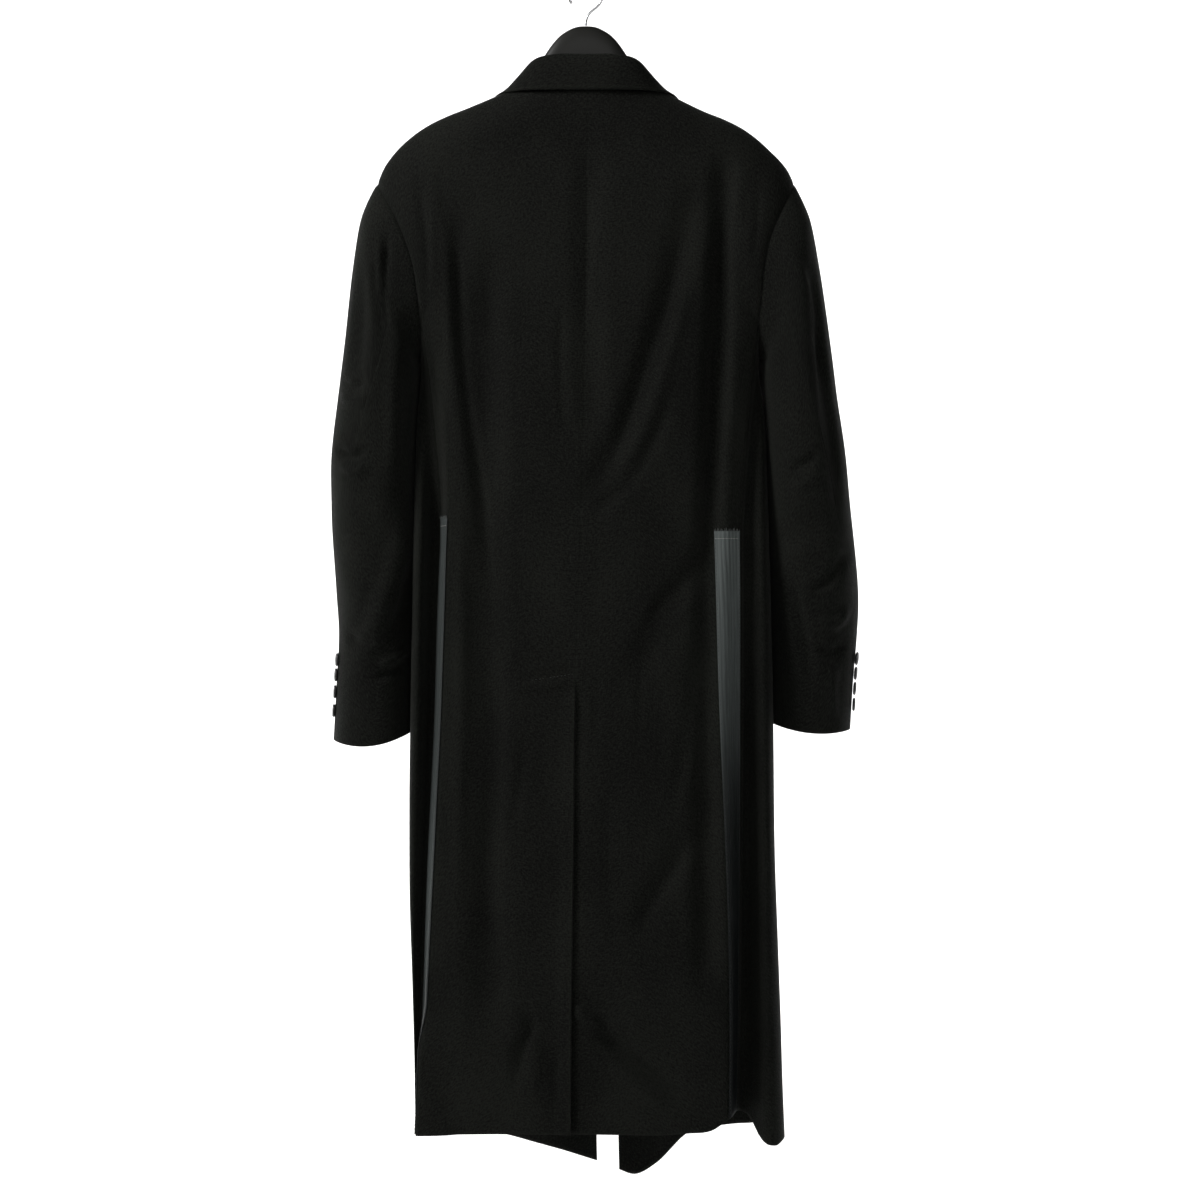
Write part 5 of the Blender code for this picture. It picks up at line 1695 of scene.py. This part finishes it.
def button_mesh(wide):
    """Spin the profile, then drill four holes through it."""
    radius = wide / 2 * MM
    thick = BUTTON_THICK * wide * MM
    shape = bmesh.new()
    corners = [shape.verts.new((out * radius, 0.0, high * thick)) for out, high in BUTTON_PROFILE]
    edges = [shape.edges.new(pair) for pair in zip(corners, corners[1:])]
    bmesh.ops.spin(shape, geom=corners + edges, cent=(0, 0, 0), axis=(0, 0, 1), dvec=(0, 0, 0),
                   angle=2.0 * math.pi, steps=40, use_merge=True, use_duplicate=False)
    bmesh.ops.remove_doubles(shape, verts=shape.verts, dist=0.00001)
    bmesh.ops.recalc_face_normals(shape, faces=shape.faces)
    disc = in_scene("button", as_mesh("button", shape, smooth_faces=False))
    drill_shape = bmesh.new()
    for turn in (45, 135, 225, 315):
        angle = math.radians(turn)
        where = Matrix.Translation((HOLE_OUT * wide * MM * math.cos(angle),
                                    HOLE_OUT * wide * MM * math.sin(angle), thick / 2))
        bmesh.ops.create_cone(drill_shape, cap_ends=True, segments=12, depth=3.0 * thick,
                              radius1=HOLE_WIDE * wide * MM, radius2=HOLE_WIDE * wide * MM,
                              matrix=where)
    drill = in_scene("drill", as_mesh("drill", drill_shape, smooth_faces=False))
    cut = disc.modifiers.new("holes", "BOOLEAN")
    cut.object = drill
    cut.operation = "DIFFERENCE"
    cut.solver = "EXACT"
    finished = evaluated_mesh(disc)
    bpy.data.objects.remove(disc)
    bpy.data.objects.remove(drill)
    return finished


def smoothed(mesh, sharp_from):
    """Smooth faces, with edges that bend by more than an angle in degrees left sharp."""
    for polygon in mesh.polygons:
        polygon.use_smooth = True
    mesh.set_sharp_from_angle(angle=math.radians(sharp_from))
    return mesh


def button_at(name, wide, centre, outward, node):
    """A copy of the turned button, laid on the cloth, with its cross of thread."""
    direction = Vector((outward[0], outward[1], -outward[2])).normalized()
    facing = direction.to_track_quat("Z", "Y").to_matrix().to_4x4()
    where = Matrix.Translation(in_metres(centre)) @ facing
    mesh = patterns[wide].copy()
    mesh.transform(where)
    made = add_piece(name, smoothed(mesh, 38.0), horn, "button", node)
    shape = bmesh.new()
    for turn in (45, -45):
        lay = Matrix.Translation((0, 0, 0.7 * BUTTON_THICK * wide * MM))
        lay = lay @ Matrix.Rotation(math.radians(turn), 4, "Z")
        size = Matrix.Diagonal((*(share * wide * MM for share in THREAD_SIZE), 1.0))
        bmesh.ops.create_uvsphere(shape, u_segments=10, v_segments=6, radius=1.0,
                                  matrix=where @ lay @ size)
    add_piece(name + "_thread", as_mesh(name, shape, smooth_faces=False), black_thread, "button")
    return made


patterns = {wide: button_mesh(wide) for wide in (BUTTON_CUFF, BUTTON_FRONT)}

# %% Cuff and front buttons
CUFF_BUTTON_ALONG = (0.878, 0.903, 0.928, 0.953)
CUFF_BUTTON_TURN = STEP_ROUND * HIND_SEAM - 9.0    # degrees round the sleeve, beside the seam
FRONT_BUTTON_DROPS = (492, 592, 692)
FRONT_BUTTON_IN = 22.0        # from the front edge
CUFF_BUTTON_LIFT = CLOTH / 2 + 0.75
FRONT_BUTTON_LIFT = CLOTH / 2 + 0.6


def cuff_buttons(side):
    """Four buttons beside the hind seam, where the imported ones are."""
    made = []
    for number, along in enumerate(CUFF_BUTTON_ALONG, start=1):
        turns = [CUFF_BUTTON_TURN + apart for apart in (-8.0, 0.0, 8.0)]
        angles, rows = grid(turns, (along - 0.01, along, along + 0.01))
        points = sleeve_surface(side, angles, angles, rows)
        outward = normals(points)[1, 1]
        if outward[0] * side < 0:
            outward = -outward
        centre = points[1, 1] + outward * CUFF_BUTTON_LIFT
        ending = side_name(side) + "_" + str(number)
        made.append(button_at("sleeve_button_" + ending, BUTTON_CUFF, centre, outward,
                              "cuff_button_" + ending))
    return made


def on_front(side, x, drop, lift):
    """Point of a front at a place, lifted off the cloth."""
    return x, float(front_at(side, np.array(side * x), np.array(float(drop)))) + lift, drop


def front_buttons():
    made = []
    for number, drop in enumerate(FRONT_BUTTON_DROPS, start=1):
        centre = on_front(1, float(front_edge(1, drop)) + FRONT_BUTTON_IN, drop, FRONT_BUTTON_LIFT)
        made.append(button_at("coat_button_" + str(number), BUTTON_FRONT, centre, (0, 1, 0),
                              "front_button_" + str(number)))
    return made


small_buttons = {side: cuff_buttons(side) for side in SIDES}
large_buttons = front_buttons()
print("buttons:", sum(len(row) for row in small_buttons.values()) + len(large_buttons))


# %% Buttonholes on the wearer's left front
HOLE_LONG = 24.0
HOLE_HALF_HIGH = 1.3
HOLE_IN = 15.0                # from the front edge


def buttonhole(number, drop):
    """A worked slit with rounded ends, laid on the left front opposite its button."""
    middle = float(front_edge(-1, drop)) - HOLE_IN - HOLE_LONG / 2
    path = []
    for turn in np.linspace(0.0, 2.0 * math.pi, 33):
        x = middle + HOLE_LONG / 2 * math.cos(turn)
        path.append(on_front(-1, x, drop + HOLE_HALF_HIGH * math.sin(turn), CLOTH / 2 + 0.1))
    return sew("buttonhole_" + str(number), path, black_thread, "wool", stitch=1.2, gap=0.1,
               thick=0.9)


buttonholes = [buttonhole(n, drop) for n, drop in enumerate(FRONT_BUTTON_DROPS, start=1)]
print("buttonholes:", len(buttonholes))

# %% [markdown]
# ## Hanger and hook
#
# The hanger is moulded in one: a bell-shaped crest that shows above the collar, and two broad
# arms that fill the shoulders.  A plated wire hook stands in the crest.


# %% Hanger
HANGER_STEPS = 148            # sections from end to end
HANGER_ROUND = 41             # points round a section


def make_hanger():
    """Elliptical sections skinned from one end of the hanger to the other."""
    reach = float(HANGER[-1][0])
    turns = np.radians(np.linspace(0.0, 360.0, HANGER_ROUND))
    rings = []
    for x in np.linspace(-reach, reach, HANGER_STEPS):
        top, bottom, half = (float(column(HANGER, HANGER_COLUMNS, name, abs(x)))
                             for name in ("top", "bottom", "half"))
        drop = 0.5 * (top + bottom) - 0.5 * (bottom - top) * np.cos(turns)
        rings.append(np.stack([np.full_like(drop, x), half * np.sin(turns), drop], axis=-1))
    shape = grid_shape(np.array(rings))
    bmesh.ops.remove_doubles(shape, verts=shape.verts, dist=0.00005)
    ends = [edge for edge in shape.edges if edge.is_boundary]
    bmesh.ops.holes_fill(shape, edges=ends, sides=0)
    bmesh.ops.recalc_face_normals(shape, faces=shape.faces)
    return add_piece("hanger_body", as_mesh("hanger_body", shape), plastic, "hanger", "hanger")


hanger = make_hanger()
print("hanger faces:", len(hanger.data.polygons))

# %% Hook
WIRE = 3.2
HOOK_INSIDE = 17.0            # radius of the ring, whose inside top is on the rail
STEM_GAP = 0.3                # between the stem's foot and the crest
STEM = ((0.0, -50.0), (0.1, -47.0), (0.9, -43.4), (2.9, -39.6), (6.4, -35.8))    # x, z


def make_hook():
    """Sweep a round section along the hook's line."""
    bend = HOOK_INSIDE + WIRE / 2
    route = [(0.0, -(COLLAR_BELOW_RAIL + HANGER[0][1]) + STEM_GAP), *STEM]
    for turn in range(-48, 214, 9):
        angle = math.radians(turn)
        route.append((bend * math.cos(angle), -HOOK_INSIDE + bend * math.sin(angle)))
    line = bpy.data.curves.new("hook_line", "CURVE")
    line.dimensions = "3D"
    line.bevel_depth = WIRE / 2 * MM
    line.bevel_resolution = 6
    line.use_fill_caps = True
    spline = line.splines.new("POLY")
    spline.points.add(len(route) - 1)
    for point, (x, z) in zip(spline.points, route):
        point.co = (x * MM, 0.0, z * MM, 1.0)
    draft = in_scene("hook_line", line)
    mesh = evaluated_mesh(draft)
    bpy.data.objects.remove(draft)
    return add_piece("hook_wire", smoothed(mesh, 50.0), chrome, "hook", "hanger_hook")


hook = make_hook()
print("hook faces:", len(hook.data.polygons))

# %% [markdown]
# ## End of the scene

# %% End
print("scene built")
